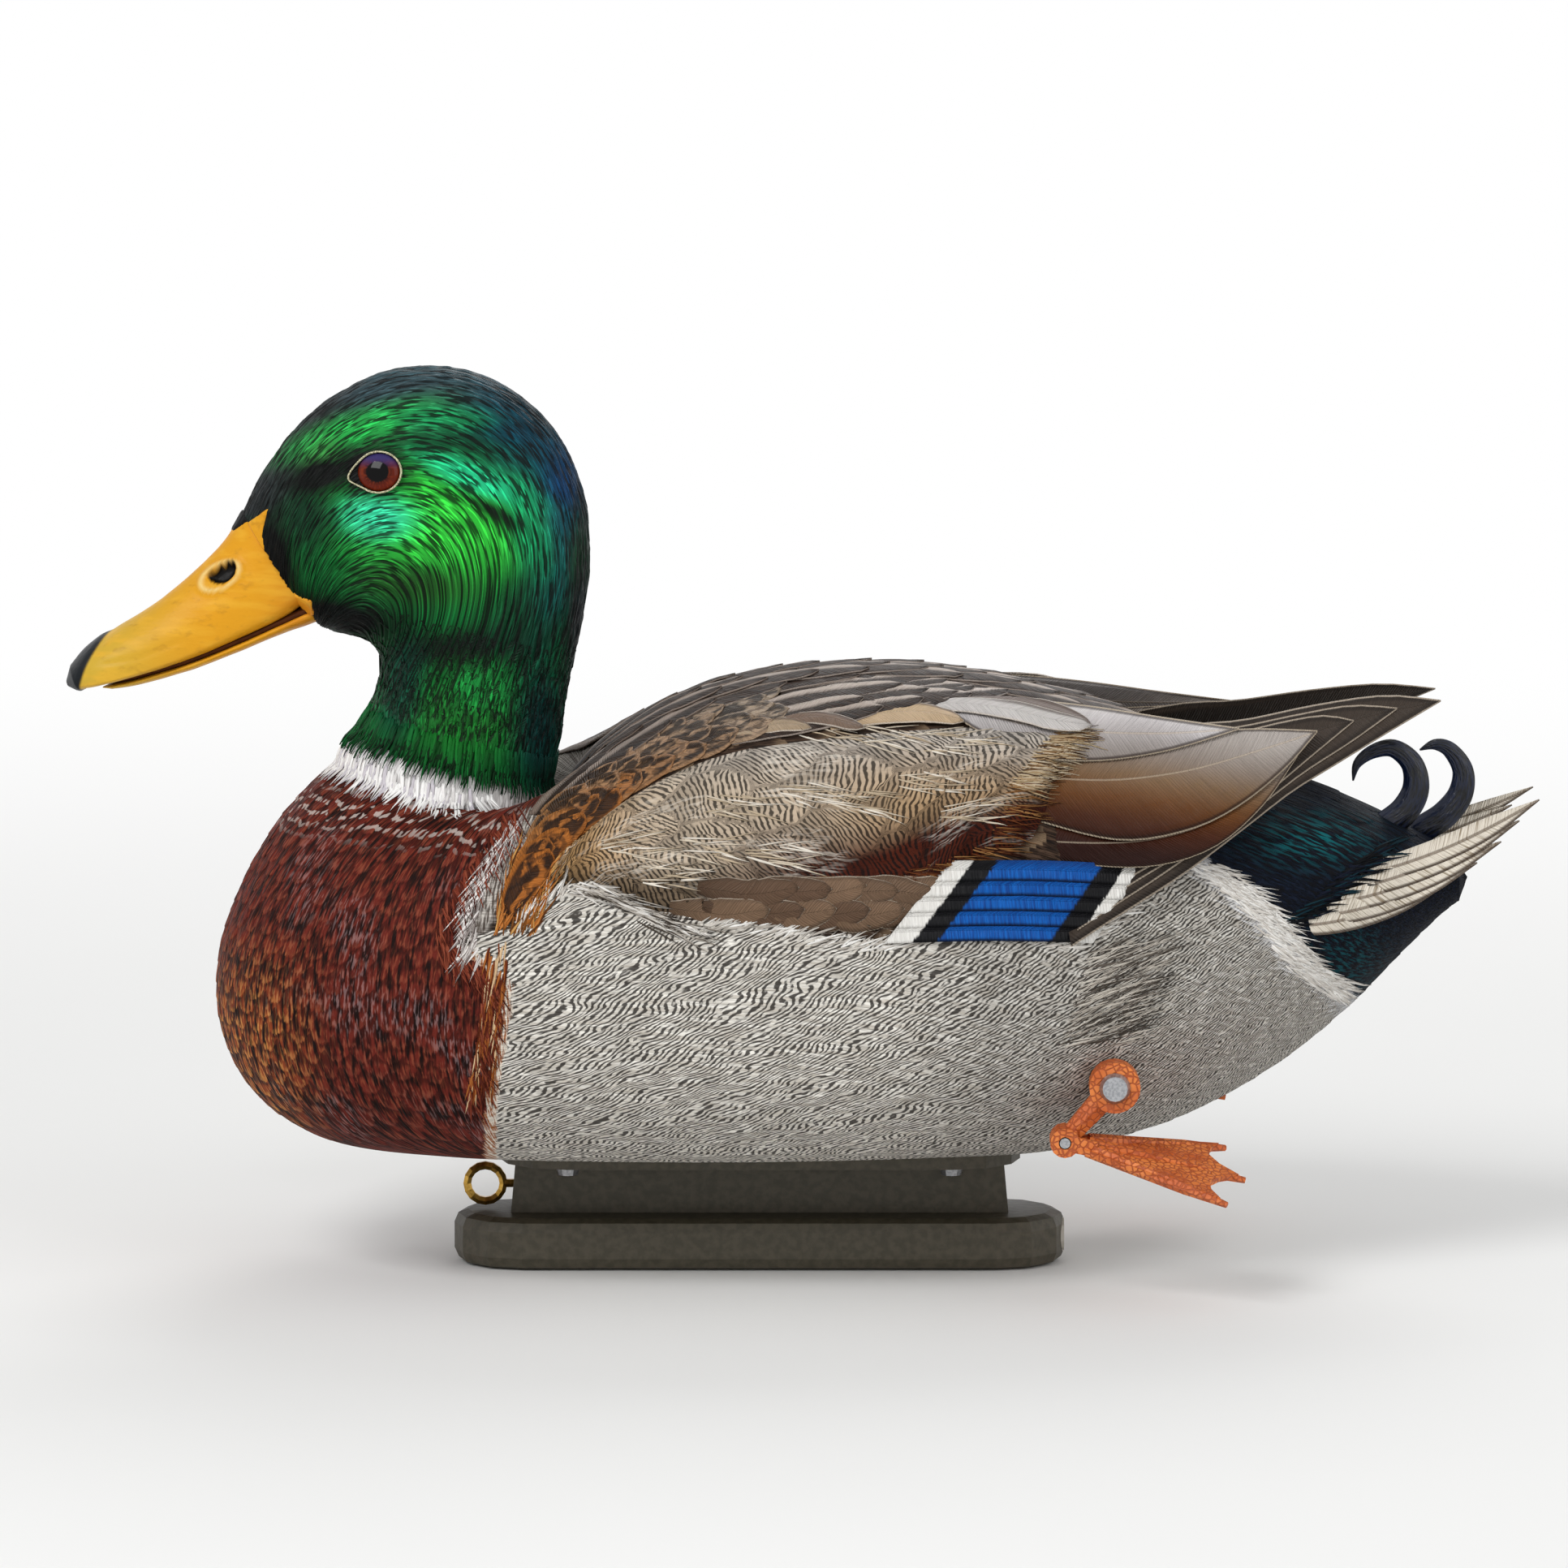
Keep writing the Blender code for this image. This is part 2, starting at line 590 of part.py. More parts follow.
def body_inside(wall, end_gap=0.0):
    """The hollow that lies a wall's thickness in, from under the neck block to short of the stern."""
    rows = section_rows(BODY_LINES, BEAM / 2)[NECK_BLOCK_ROWS:-1]
    rings = body_rings(rows, -wall, INNER_SIDES)
    for row, ring, inset in ((rows[0], rings[0], NECK_BLOCK_DROP + end_gap), (rows[-1], rings[-1], -end_gap)):
        inwards = Vector((row[1] - row[3], 0.0, row[2] - row[0])).normalized() * inset
        ring[:] = [point + inwards for point in ring]
    return loft(rings)


class Side:
    """Finds how far a closed surface reaches to the left at a place in the side view."""

    def __init__(self, bm):
        self.tree = BVHTree.FromBMesh(bm)

    def reach(self, x, z):
        hit = self.tree.ray_cast(Vector((x, -FAR, z)), Vector((0.0, 1.0, 0.0)))[0]
        return 0.0 if hit is None else -hit.y

    def seat(self, x, z, least):
        """A point on the left of the surface, easing out to a least distance, and its outward way."""
        out, least = self.reach(x, z), max(least, 0.0)
        apart = math.hypot(out - least, SEAT_BLEND) if least > 0 else out
        share = 0.5 + 0.5 * (out - least) / apart if out > 0 else 0.0
        step = 4.0 * MM
        slope_x = (self.reach(x + step, z) - self.reach(x - step, z)) * share
        slope_z = (self.reach(x, z + step) - self.reach(x, z - step)) * share
        way = Vector((-slope_x, -2 * step, -slope_z)).normalized()
        return Vector((x, -0.5 * (out + least + apart), z)), way


def seam_lines():
    """The three joint lines between the shells, as a point and the unit normal towards the stern."""
    lines = []
    for top, foot in ((BREAST_SEAM_TOP, BREAST_SEAM_FOOT), (RUMP_SEAM_TOP, RUMP_SEAM_FOOT)):
        along = Vector((foot[0] - top[0], foot[1] - top[1])).normalized()
        lines.append((top, (-along.y, along.x)))
    return lines[0], lines[1]


def shell_region(name, *sides):
    """A cutter for one shell: the side view kept to one side of each joint line, less half the gap."""
    outline = [(-FAR, -FAR), (FAR, -FAR), (FAR, FAR), (-FAR, FAR)]
    for point, normal, sign in sides:
        inset = sign * SEAM_GAP / 2
        start = (point[0] + normal[0] * inset, point[1] + normal[1] * inset)
        outline = half_plane(outline, start, (normal[0] * sign, normal[1] * sign))
    return prism(name, outline, FAR)


def make_shells(colours):
    """The four skins: breast, hull, back and rump."""
    inner = make_object("body_inside", mesh_from("body_inside", body_inside(SKIN)))
    breast_line, rump_line = seam_lines()
    flank_line = ((0.0, FLANK_SEAM_Z), (0.0, 1.0))
    kept = {
        "breast_shell": [(*breast_line, -1)],
        "hull_shell": [(*breast_line, 1), (*flank_line, -1), (*rump_line, -1)],
        "back_shell": [(*breast_line, 1), (*flank_line, 1), (*rump_line, -1)],
        "rump_shell": [(*rump_line, 1)],
    }
    shells = {}
    for name, sides in kept.items():
        mesh = mesh_from(name, body_outside())
        shells[name] = make_object(name, mesh, colours[name])
        cut(shells[name], inner)
        boolean(shells[name], shell_region(f"{name}_region", *sides), "INTERSECT")
    return shells


# Neck, head and bill


def make_neck(frame, breast, colours):
    """The collar, the swivel stem and what holds it down, all on the neck's axis."""
    bore = STEM_RADIUS + FIT_GAP
    waist = COLLAR_RADIUS - COLLAR_BULGE
    collar = [
        (bore, 0.0), (waist, 0.0), (COLLAR_RADIUS, -COLLAR_HEIGHT * 0.3),
        (COLLAR_RADIUS, -COLLAR_HEIGHT * 0.75), (waist, -COLLAR_HEIGHT), (bore, -COLLAR_HEIGHT),
    ]
    turned("neck_collar", collar, colours["collar"], frame, ring=True, steps=32)
    sleeve = bore + BUSH_WALL
    flange_top = WALL_BOTTOM - FIT_GAP
    bush = [
        (bore, SEAT_HEIGHT - FIT_GAP), (sleeve, SEAT_HEIGHT - FIT_GAP), (sleeve, flange_top),
        (BUSH_FLANGE_RADIUS, flange_top), (BUSH_FLANGE_RADIUS, BUSH_BOTTOM), (bore, BUSH_BOTTOM),
    ]
    turned("neck_bush", bush, colours["fittings"], frame, ring=True)
    hole = cylinder("neck_seat_hole", sleeve + FIT_GAP, WALL_BOTTOM - SKIN, SEAT_HEIGHT + SKIN, parent=frame)
    cut(breast, hole)
    shoulder = SPRING_TOP - SPRING_LENGTH * 0.4
    stem = [
        (0.0, STEM_IN_HEAD), (STEM_RADIUS, STEM_IN_HEAD), (STEM_RADIUS, FIT_GAP + STEM_FLANGE),
        (STEM_FLANGE_RADIUS, FIT_GAP + STEM_FLANGE), (STEM_FLANGE_RADIUS, FIT_GAP),
        (STEM_RADIUS, FIT_GAP), (STEM_RADIUS, shoulder), (THREAD_RADIUS, shoulder),
        (THREAD_RADIUS, STEM_END), (0.0, STEM_END),
    ]
    turned("neck_stem", stem, colours["steel"], frame)
    washer = [
        (THREAD_RADIUS + FIT_GAP, WASHER_TOP), (WASHER_RADIUS, WASHER_TOP),
        (WASHER_RADIUS, WASHER_TOP - WASHER), (THREAD_RADIUS + FIT_GAP, WASHER_TOP - WASHER),
    ]
    turned("stem_washer", washer, colours["steel"], frame, ring=True)
    nut = cylinder("stem_nut", NUT_RADIUS, NUT_TOP - NUT_HEIGHT, NUT_TOP, colours["steel"], frame, steps=6)
    bore = cylinder("nut_bore", THREAD_RADIUS + FIT_GAP, STEM_END, WASHER_TOP, parent=frame)
    cut(nut, bore)
    make_spring(frame, colours["steel"])


def make_spring(frame, material):
    """The coil that pulls the head down on its collar."""
    per_turn = 10
    count = int(SPRING_TURNS * per_turn) + 1
    climb = SPRING_LENGTH - 2 * SPRING_WIRE
    points = []
    for i in range(count):
        angle = math.tau * i / per_turn
        height = SPRING_TOP - SPRING_WIRE - climb * i / (count - 1)
        points.append((SPRING_RADIUS * math.cos(angle), SPRING_RADIUS * math.sin(angle), height))
    pitch = climb / SPRING_TURNS
    print(f"stem_spring: least gap between turns {(pitch - 2 * SPRING_WIRE) / MM:.2f} mm")
    spring = tube("stem_spring", points, [SPRING_WIRE] * count, material, resolution=1)
    spring.parent = frame


def head_surface():
    rings = [section(row, HEAD_SIDES) for row in smooth_rows(section_rows(HEAD_LINES, HEAD_WIDTH / 2), 2)]
    rings.insert(0, neck_ring(FIT_GAP, NECK_RADIUS, HEAD_SIDES))
    return loft(rings)


def bill_face():
    """Middle of the head's face behind the bill, and the direction that the bill leaves it."""
    row = section_rows(HEAD_LINES, HEAD_WIDTH / 2)[-1]
    top, bottom = Vector((row[0], 0.0, row[1])), Vector((row[2], 0.0, row[3]))
    along = (top - bottom).normalized()
    return (top + bottom) / 2, Vector((-along.z, 0.0, along.x))


def make_head(frame, colours):
    """The head with its sockets, the two halves of the bill and the eyes."""
    head = make_object("head", mesh_from("head", head_surface()), colours["head"])
    socket = [
        (0.0, STEM_IN_HEAD + FIT_GAP), (STEM_RADIUS + FIT_GAP, STEM_IN_HEAD + FIT_GAP),
        (STEM_RADIUS + FIT_GAP, STEM_FLANGE + 2 * FIT_GAP),
        (STEM_FLANGE_RADIUS + FIT_GAP, STEM_FLANGE + 2 * FIT_GAP),
        (STEM_FLANGE_RADIUS + FIT_GAP, -FIT_GAP * 2), (0.0, -FIT_GAP * 2),
    ]
    cut(head, turned("stem_socket", socket, parent=frame))
    make_bill(head, colours)
    side = Side(head_surface())
    deep = side.reach(EYE_X, EYE_Z) + EYE_PROUD - EYE_RADIUS
    for sign, name in ((-1, "eye_left"), (1, "eye_right")):
        centre = Vector((EYE_X, sign * deep, EYE_Z))
        ball(name, EYE_RADIUS, centre, colours["eye"])
        cut(head, ball(f"{name}_socket", EYE_RADIUS + FIT_GAP, centre))


def ball(name, radius, centre, material=None):
    bm = bmesh.new()
    bmesh.ops.create_uvsphere(bm, u_segments=14, v_segments=8, radius=radius)
    obj = make_object(name, mesh_from(name, bm), material)
    obj.location = centre
    return obj


def make_bill(head, colours):
    middle, forward = bill_face()
    turn = (0.0, math.atan2(-forward.z, forward.x), 0.0)
    start = middle + Vector((0.0, 0.0, TENON_ROOT)) + forward * FIT_GAP
    upper = bill_half("bill_upper", UPPER_BILL_LINES, BILL_TIP, colours["bill"])
    bite = TENON_ROOT
    size = (TENON_LENGTH + bite, TENON_WIDTH, TENON_HEIGHT)
    centre = start + forward * (bite - TENON_LENGTH) / 2
    join(upper, box("bill_tenon", size, centre, turn))
    room = [length + 2 * FIT_GAP for length in size]
    cut(head, box("bill_mortise", room, centre, turn))
    lower = bill_half("bill_lower", LOWER_BILL_LINES, LOWER_BILL_TIP, colours["bill"])
    for sign in (-1, 1):
        nostril = ball(f"nostril_{'left' if sign < 0 else 'right'}", 0.5, (0.0, 0.0, 0.0))
        nostril.scale = (NOSTRIL_LENGTH, 2 * NOSTRIL_DEPTH, NOSTRIL_HEIGHT)
        nostril.rotation_euler = (0.0, -NOSTRIL_PITCH, 0.0)
        reach = Side(bill_mesh(UPPER_BILL_LINES, BILL_TIP)).reach(NOSTRIL_X, NOSTRIL_Z)
        nostril.location = (NOSTRIL_X, sign * reach, NOSTRIL_Z)
        cut(upper, nostril)
    return upper, lower


def bill_mesh(lines, tip):
    rings = [section(row, BILL_SIDES) for row in smooth_rows(section_rows(lines), 2)]
    return loft(rings, Vector((tip[0], 0.0, tip[1])))


def bill_half(name, lines, tip, material):
    return make_object(name, mesh_from(name, bill_mesh(lines, tip)), material)


# Wings and tail


def feather_piece(name, upper, lower, thick, lift, side, material, across=7, per_span=2):
    """A plate of feathers between two edges in the side view, lying outside the body, left and right."""
    top, bottom = (smooth_rows(edge_rows(edge), per_span) for edge in (upper, lower))
    inner, outer = [], []
    for a, b in zip(top, bottom):
        low, high = [], []
        for j in range(across + 1):
            t = j / across
            x, z, least = (a[k] + (b[k] - a[k]) * t for k in range(3))
            seat, way = side.seat(x, z, least)
            crown = FEATHER_EDGE + (thick - FEATHER_EDGE) * math.sin(math.pi * t) ** 0.6
            low.append(seat + way * (FEATHER_SEAT + lift))
            high.append(seat + way * (FEATHER_SEAT + lift + crown))
        inner.append(low)
        outer.append(high)
    left = make_object(f"{name}_left", mesh_from(name, slab(inner, outer)), material)
    mirrored(left, f"{name}_right")


def make_wings(side, colours):
    feather_piece("wing_panel", WING_PANEL_UPPER, WING_PANEL_LOWER, WING_PANEL_THICK, 0.0, side, colours["wing"])
    feather_piece("speculum", SPECULUM_UPPER, SPECULUM_LOWER, SPECULUM_THICK, 0.0, side, colours["speculum"])
    feather_piece("tertials", TERTIAL_UPPER, TERTIAL_LOWER, TERTIAL_THICK, TERTIAL_LIFT, side, colours["tertials"])
    feather_piece("primaries", PRIMARY_UPPER, PRIMARY_LOWER, PRIMARY_THICK, 0.0, side, colours["primaries"])


def make_tail(side, rump, core, colours):
    """The white outer tail feathers and the two curls pegged into the rump."""
    feather_piece("tail_feathers", TAIL_UPPER, TAIL_LOWER, TAIL_THICK, 0.0, side, colours["tail"], across=5)
    for name, route, offset in (("curl_front", FRONT_CURL, -CURL_OFFSET), ("curl_rear", REAR_CURL, CURL_OFFSET)):
        rows = smooth_rows(edge_rows(route), 3)
        points = [(x, offset, z) for x, z, _ in rows]
        curl = as_mesh(tube(f"tail_{name}", points, [r for _, _, r in rows]), colours["curl"])
        room = as_mesh(tube(f"{name}_socket", points[:9], [r + FIT_GAP for _, _, r in rows[:9]]))
        cut(rump, room)
        cut(core, room)


# Float core


def make_core(frame, breast, material):
    """The foam that fills the skins, with room for what reaches inside them."""
    gap = SKIN + CORE_GAP
    core = make_object("float_core", mesh_from("float_core", body_inside(gap, CORE_GAP)), material)
    wide = max(BUSH_FLANGE_RADIUS, WASHER_RADIUS, NUT_RADIUS, SPRING_RADIUS + SPRING_WIRE) + 4 * FIT_GAP
    pocket = cylinder("neck_pocket", wide, STEM_END - POCKET_DEPTH, WALL_BOTTOM, parent=frame, steps=TURN_STEPS)
    cut(core, pocket)
    cut(breast, pocket)
    return core


# Keel


def stadium(length, width, count=7):
    """A long outline with round ends, centred on the origin."""
    radius = width / 2
    outline = []
    for centre, start in ((length / 2 - radius, -90.0), (radius - length / 2, 90.0)):
        for i in range(count):
            angle = math.radians(start + 180.0 * i / (count - 1))
            outline.append((centre + radius * math.cos(angle), radius * math.sin(angle)))
    return outline


def upright(name, outline, low, high, centre_x, material=None):
    """A plate with that plan outline, between two levels."""
    bm = bmesh.new()
    face = bm.faces.new([bm.verts.new((x + centre_x, y, low)) for x, y in outline])
    swept = bmesh.ops.extrude_face_region(bm, geom=[face])["geom"]
    moved = [v for v in swept if isinstance(v, bmesh.types.BMVert)]
    bmesh.ops.translate(bm, vec=(0.0, 0.0, high - low), verts=moved)
    return make_object(name, mesh_from(name, bm), material)


def make_keel(hull, core, colours):
    """The weighted keel, screwed up into bosses in the hull, and the anchor line's eye."""
    top = FLOOR_Z - FIT_GAP
    under_flange = top - KEEL_FLANGE
    bulb = stadium(KEEL_LENGTH, KEEL_WIDTH)
    keel = upright("keel", bulb, 0.0, KEEL_BULB, KEEL_CENTRE_X, colours["keel"])
    rounded = keel.modifiers.new("rounded edges", "BEVEL")
    rounded.width = KEEL_BULB / 4
    rounded.segments = 2
    rounded.limit_method = "ANGLE"
    rounded.angle_limit = math.radians(60.0)
    half = KEEL_LENGTH / 2 - KEEL_RAKE
    web_top = KEEL_FLANGE_LENGTH / 2 - KEEL_FLANGE
    bite = KEEL_BULB / 3
    web = [
        (KEEL_CENTRE_X - half, KEEL_BULB - bite), (KEEL_CENTRE_X + half, KEEL_BULB - bite),
        (KEEL_CENTRE_X + web_top, top - KEEL_FLANGE / 2), (KEEL_CENTRE_X - web_top, top - KEEL_FLANGE / 2),
    ]
    flange = stadium(KEEL_FLANGE_LENGTH, KEEL_WIDTH)
    join(keel, prism("keel_web", web, KEEL_WEB / 2))
    join(keel, upright("keel_flange", flange, under_flange, top, KEEL_CENTRE_X))
    make_ballast(keel, colours)
    make_keel_screws(keel, hull, core, under_flange, colours)
    make_line_eye(keel, colours)


def make_ballast(keel, colours):
    """The ballast bar in its bore, and the plug that closes the bore's rear end."""
    level = KEEL_BULB / 2
    stern = KEEL_CENTRE_X + KEEL_LENGTH / 2
    bar_end = stern - PLUG_LENGTH - 2 * FIT_GAP
    along = (0.0, QUARTER_TURN, 0.0)
    bar = cylinder("ballast_bar", BALLAST_RADIUS, 0.0, BALLAST_LENGTH, colours["ballast"])
    bar.location = (bar_end - BALLAST_LENGTH, 0.0, level)
    plug = cylinder("ballast_plug", BALLAST_RADIUS, 0.0, PLUG_LENGTH, colours["fittings"])
    plug.location = (stern - PLUG_LENGTH - FIT_GAP, 0.0, level)
    bore = cylinder("ballast_bore", BALLAST_RADIUS + FIT_GAP, 0.0, BALLAST_LENGTH + 3 * PLUG_LENGTH)
    bore.location = (bar_end - BALLAST_LENGTH - FIT_GAP, 0.0, level)
    for obj in (bar, plug, bore):
        obj.rotation_euler = along
    cut(keel, bore)


def make_keel_screws(keel, hull, core, under_flange, colours):
    """Four screws up through the keel's flange, the hull's bosses for them and the core's recess for those."""
    shank_top = under_flange + SCREW_GRIP
    boss_top = shank_top + BOSS_PAST_SCREW
    sink = SKIN / 2
    for along, end in ((-1, "front"), (1, "rear")):
        for across, hand in ((-1, "left"), (1, "right")):
            place = (KEEL_CENTRE_X + along * SCREW_SPREAD_X / 2, across * SCREW_SPREAD_Y / 2, 0.0)
            head_top = under_flange - FIT_GAP
            profile = [
                (0.0, shank_top), (SCREW_RADIUS, shank_top), (SCREW_RADIUS, head_top),
                (SCREW_HEAD_RADIUS, head_top), (SCREW_HEAD_RADIUS * 0.8, head_top - SCREW_HEAD),
                (0.0, head_top - SCREW_HEAD),
            ]
            screw = turned(f"keel_screw_{end}_{hand}", profile, colours["steel"], steps=12)
            hole_radius = SCREW_RADIUS + FIT_GAP
            hole = cylinder(f"screw_hole_{end}_{hand}", hole_radius, under_flange - SCREW_HEAD, shank_top + FIT_GAP)
            boss = cylinder(f"boss_{end}_{hand}", BOSS_RADIUS, FLOOR_Z + sink, boss_top)
            for obj in (screw, hole, boss):
                obj.location = place
            cut(keel, hole)
            join(hull, boss)
            cut(hull, hole)
    spread = 2 * BOSS_RADIUS + 4 * CORE_GAP
    size = (SCREW_SPREAD_X + spread, SCREW_SPREAD_Y + spread, 2 * (boss_top + CORE_GAP - FLOOR_Z))
    cut(core, box("boss_recess", size, (KEEL_CENTRE_X, 0.0, FLOOR_Z)))


def make_line_eye(keel, colours):
    """A screw eye in the keel's nose, where the anchor line is tied."""
    nose = KEEL_CENTRE_X - KEEL_LENGTH / 2 + KEEL_RAKE
    lean = (KEEL_RAKE - (KEEL_LENGTH - KEEL_FLANGE_LENGTH) / 2 - KEEL_FLANGE) / (FLOOR_Z - KEEL_BULB)
    face = nose - lean * (EYE_HEIGHT - KEEL_BULB)
    centre = face - EYE_RING_RADIUS - 2 * EYE_RING_WIRE
    ring = []
    for i in range(16):
        angle = math.tau * i / 16
        ring.append((centre + EYE_RING_RADIUS * math.cos(angle), 0.0, EYE_HEIGHT + EYE_RING_RADIUS * math.sin(angle)))
    eye = as_mesh(tube("line_eye", ring, [EYE_RING_WIRE] * len(ring), cyclic=True), colours["brass"])
    start = centre + EYE_RING_RADIUS
    shank = [(start, 0.0, EYE_HEIGHT), (face + EYE_SHANK, 0.0, EYE_HEIGHT)]
    join(eye, as_mesh(tube("eye_shank", shank, [EYE_RING_WIRE] * 2)))
    reach = [(start, 0.0, EYE_HEIGHT), (face + EYE_SHANK + FIT_GAP, 0.0, EYE_HEIGHT)]
    cut(keel, as_mesh(tube("eye_hole", reach, [EYE_RING_WIRE + FIT_GAP] * 2)))


# Legs


def across_bar(name, radius, low, high, place, material=None, steps=SMALL_STEPS):
    """A round bar along Y, between two distances to the left of the middle plane."""
    bar = cylinder(name, radius, low, high, material, steps=steps)
    bar.rotation_euler = (QUARTER_TURN, 0.0, 0.0)
    bar.location = place
    return bar


def solid_copy(obj, name, material, origin):
    """The evaluated solid of a helper as a plain mesh, with its origin moved to a point."""
    bpy.context.view_layer.update()
    graph = bpy.context.evaluated_depsgraph_get()
    mesh = bpy.data.meshes.new_from_object(obj.evaluated_get(graph))
    mesh.transform(Matrix.Translation(-Vector(origin)) @ obj.matrix_world)
    mesh.materials.clear()
    made = make_object(name, mesh, material)
    made.location = origin
    return made


def hip_face(side):
    """How far out the hip boss ends: just past the hull all round the leg's hub."""
    reaches = []
    for step in range(TURN_STEPS):
        turn = 4 * QUARTER_TURN * step / TURN_STEPS
        reaches.append(side.reach(HIP_X + HUB_RADIUS * math.cos(turn), HIP_Z + HUB_RADIUS * math.sin(turn)))
    return max(reaches) + HIP_CLEARANCE


def make_legs(side, hull, core, colours):
    """Both legs: a shank that swings on a shoulder screw in the hull, and a webbed foot on an ankle pin."""
    hip = Vector((HIP_X, 0.0, HIP_Z))
    face = hip_face(side)
    middle = face + FIT_GAP + HUB_WIDTH / 2
    ankle = hip + Vector((ANKLE_X, -middle, ANKLE_Z))
    pieces = {
        "leg_shank": (make_shank(hip, ankle, face), hip - Vector((0.0, middle, 0.0)), colours["leg"]),
        "foot": (make_foot(ankle), ankle, colours["leg"]),
        "hip_screw": (make_hip_screw(hip, face), hip - Vector((0.0, middle, 0.0)), colours["steel"]),
        "ankle_pin": (make_ankle_pin(ankle), ankle, colours["steel"]),
    }
    for name, (helper, origin, material) in pieces.items():
        mirrored(solid_copy(helper, f"{name}_left", material, origin), f"{name}_right")
    for sign, hand in ((1, "left"), (-1, "right")):
        low, high = face - HIP_BOSS_DEPTH, face
        ends = sorted((sign * low, sign * high))
        boss = across_bar(f"hip_boss_{hand}", HIP_BOSS_RADIUS, *ends, hip)
        ends = sorted((sign * (low - FIT_GAP), sign * high))
        room = across_bar(f"hip_room_{hand}", HIP_BOSS_RADIUS + FIT_GAP, *ends, hip)
        tip = face - HIP_PIN_GRIP - FIT_GAP
        ends = sorted((sign * tip, sign * (high + HUB_WIDTH)))
        hole = across_bar(f"hip_hole_{hand}", HIP_PIN_RADIUS + FIT_GAP, *ends, hip)
        join(hull, boss)
        cut(hull, hole)
        cut(core, room)


def make_hip_screw(hip, face):
    """Shoulder screw: its shank holds the leg's hub against the boss, its head outside."""
    outside = face + FIT_GAP + HUB_WIDTH + FIT_GAP
    tip = face - HIP_PIN_GRIP
    profile = [
        (0.0, outside + HIP_PIN_HEAD), (HIP_PIN_HEAD_RADIUS * 0.8, outside + HIP_PIN_HEAD),
        (HIP_PIN_HEAD_RADIUS, outside), (HIP_PIN_RADIUS, outside), (HIP_PIN_RADIUS, tip), (0.0, tip),
    ]
    screw = turned("hip_screw_form", profile, steps=16)
    screw.rotation_euler = (QUARTER_TURN, 0.0, 0.0)
    screw.location = hip
    return screw


def make_ankle_pin(ankle):
    half = ANKLE_WIDTH / 2 + FIT_GAP + EAR_WIDTH
    return across_bar("ankle_pin_form", ANKLE_PIN_RADIUS, -half, half, ankle, steps=12)


def make_shank(hip, ankle, face):
    """The scaly shank, from its round hub at the hull to the eye at the ankle."""
    low = face + FIT_GAP
    start = hip - Vector((0.0, low + HUB_WIDTH / 2, 0.0))
    reach = HUB_RADIUS / 2
    way = (ankle - start).normalized()
    rows = [(*(start + way * reach), SHANK_RADIUS * 1.1), (*start.lerp(ankle, 0.55), SHANK_RADIUS),
            (*start.lerp(ankle, 0.8), SHANK_RADIUS * 0.9), (*(ankle - way * ANKLE_PIN_RADIUS), SHANK_RADIUS * 0.8)]
    rows = smooth_rows(rows, 2)
    shank = as_mesh(tube("shank_form", [row[:3] for row in rows], [row[3] for row in rows]))
    hub = across_bar("hub_form", HUB_RADIUS, low, low + HUB_WIDTH, hip, steps=24)
    eye = across_bar("ankle_eye_form", ANKLE_RADIUS, -ANKLE_WIDTH / 2, ANKLE_WIDTH / 2, ankle)
    join(shank, hub, eye)
    cut(shank, across_bar("hub_bore", HIP_PIN_RADIUS + FIT_GAP, low - HUB_WIDTH, low + 2 * HUB_WIDTH, hip))
    cut(shank, across_bar("ankle_bore", ANKLE_PIN_RADIUS + FIT_GAP, -ANKLE_WIDTH, ANKLE_WIDTH, ankle))
    fork = ANKLE_WIDTH / 2 + FIT_GAP
    for sign in (-1, 1):
        ends = sorted((sign * fork, sign * (fork + 2 * EAR_WIDTH)))
        cut(shank, across_bar(f"fork_room_{sign}", ANKLE_RADIUS + 2 * FIT_GAP, *ends, ankle))
    return shank


def make_foot(ankle):
    """The webbed foot: three toes on a scalloped web, and the two ears that carry the ankle pin."""
    heel = ANKLE_RADIUS * 1.1
    inner = ANKLE_WIDTH / 2 + FIT_GAP
    foot = placed(make_web(heel, inner + EAR_WIDTH), Matrix.Rotation(FOOT_ROLL, 4, "X"))
    for sign in (-1, 1):
        ends = sorted((sign * inner, sign * (inner + EAR_WIDTH)))
        ear = across_bar(f"ear_{sign}", ANKLE_RADIUS, *ends, (0.0, 0.0, 0.0))
        strut = box(f"ear_strut_{sign}", (heel + 2 * TOE_RADIUS, EAR_WIDTH * 0.9, 2 * TOE_RADIUS), (0.0, 0.0, 0.0))
        strut.location = ((heel + 2 * TOE_RADIUS) / 2, sign * (inner + EAR_WIDTH / 2), 0.0)
        join(foot, ear, strut)
    reach = inner + 2 * EAR_WIDTH
    room = inner - FIT_GAP / 2
    cut(foot, across_bar("foot_eye_room", ANKLE_RADIUS + 2 * FIT_GAP, -room, room, (0.0, 0.0, 0.0), steps=24))
    cut(foot, across_bar("foot_bore", ANKLE_PIN_RADIUS + FIT_GAP, -reach, reach, (0.0, 0.0, 0.0)))
    return placed(foot, Matrix.Translation(ankle) @ Matrix.Rotation(FOOT_PITCH, 4, "Y"))


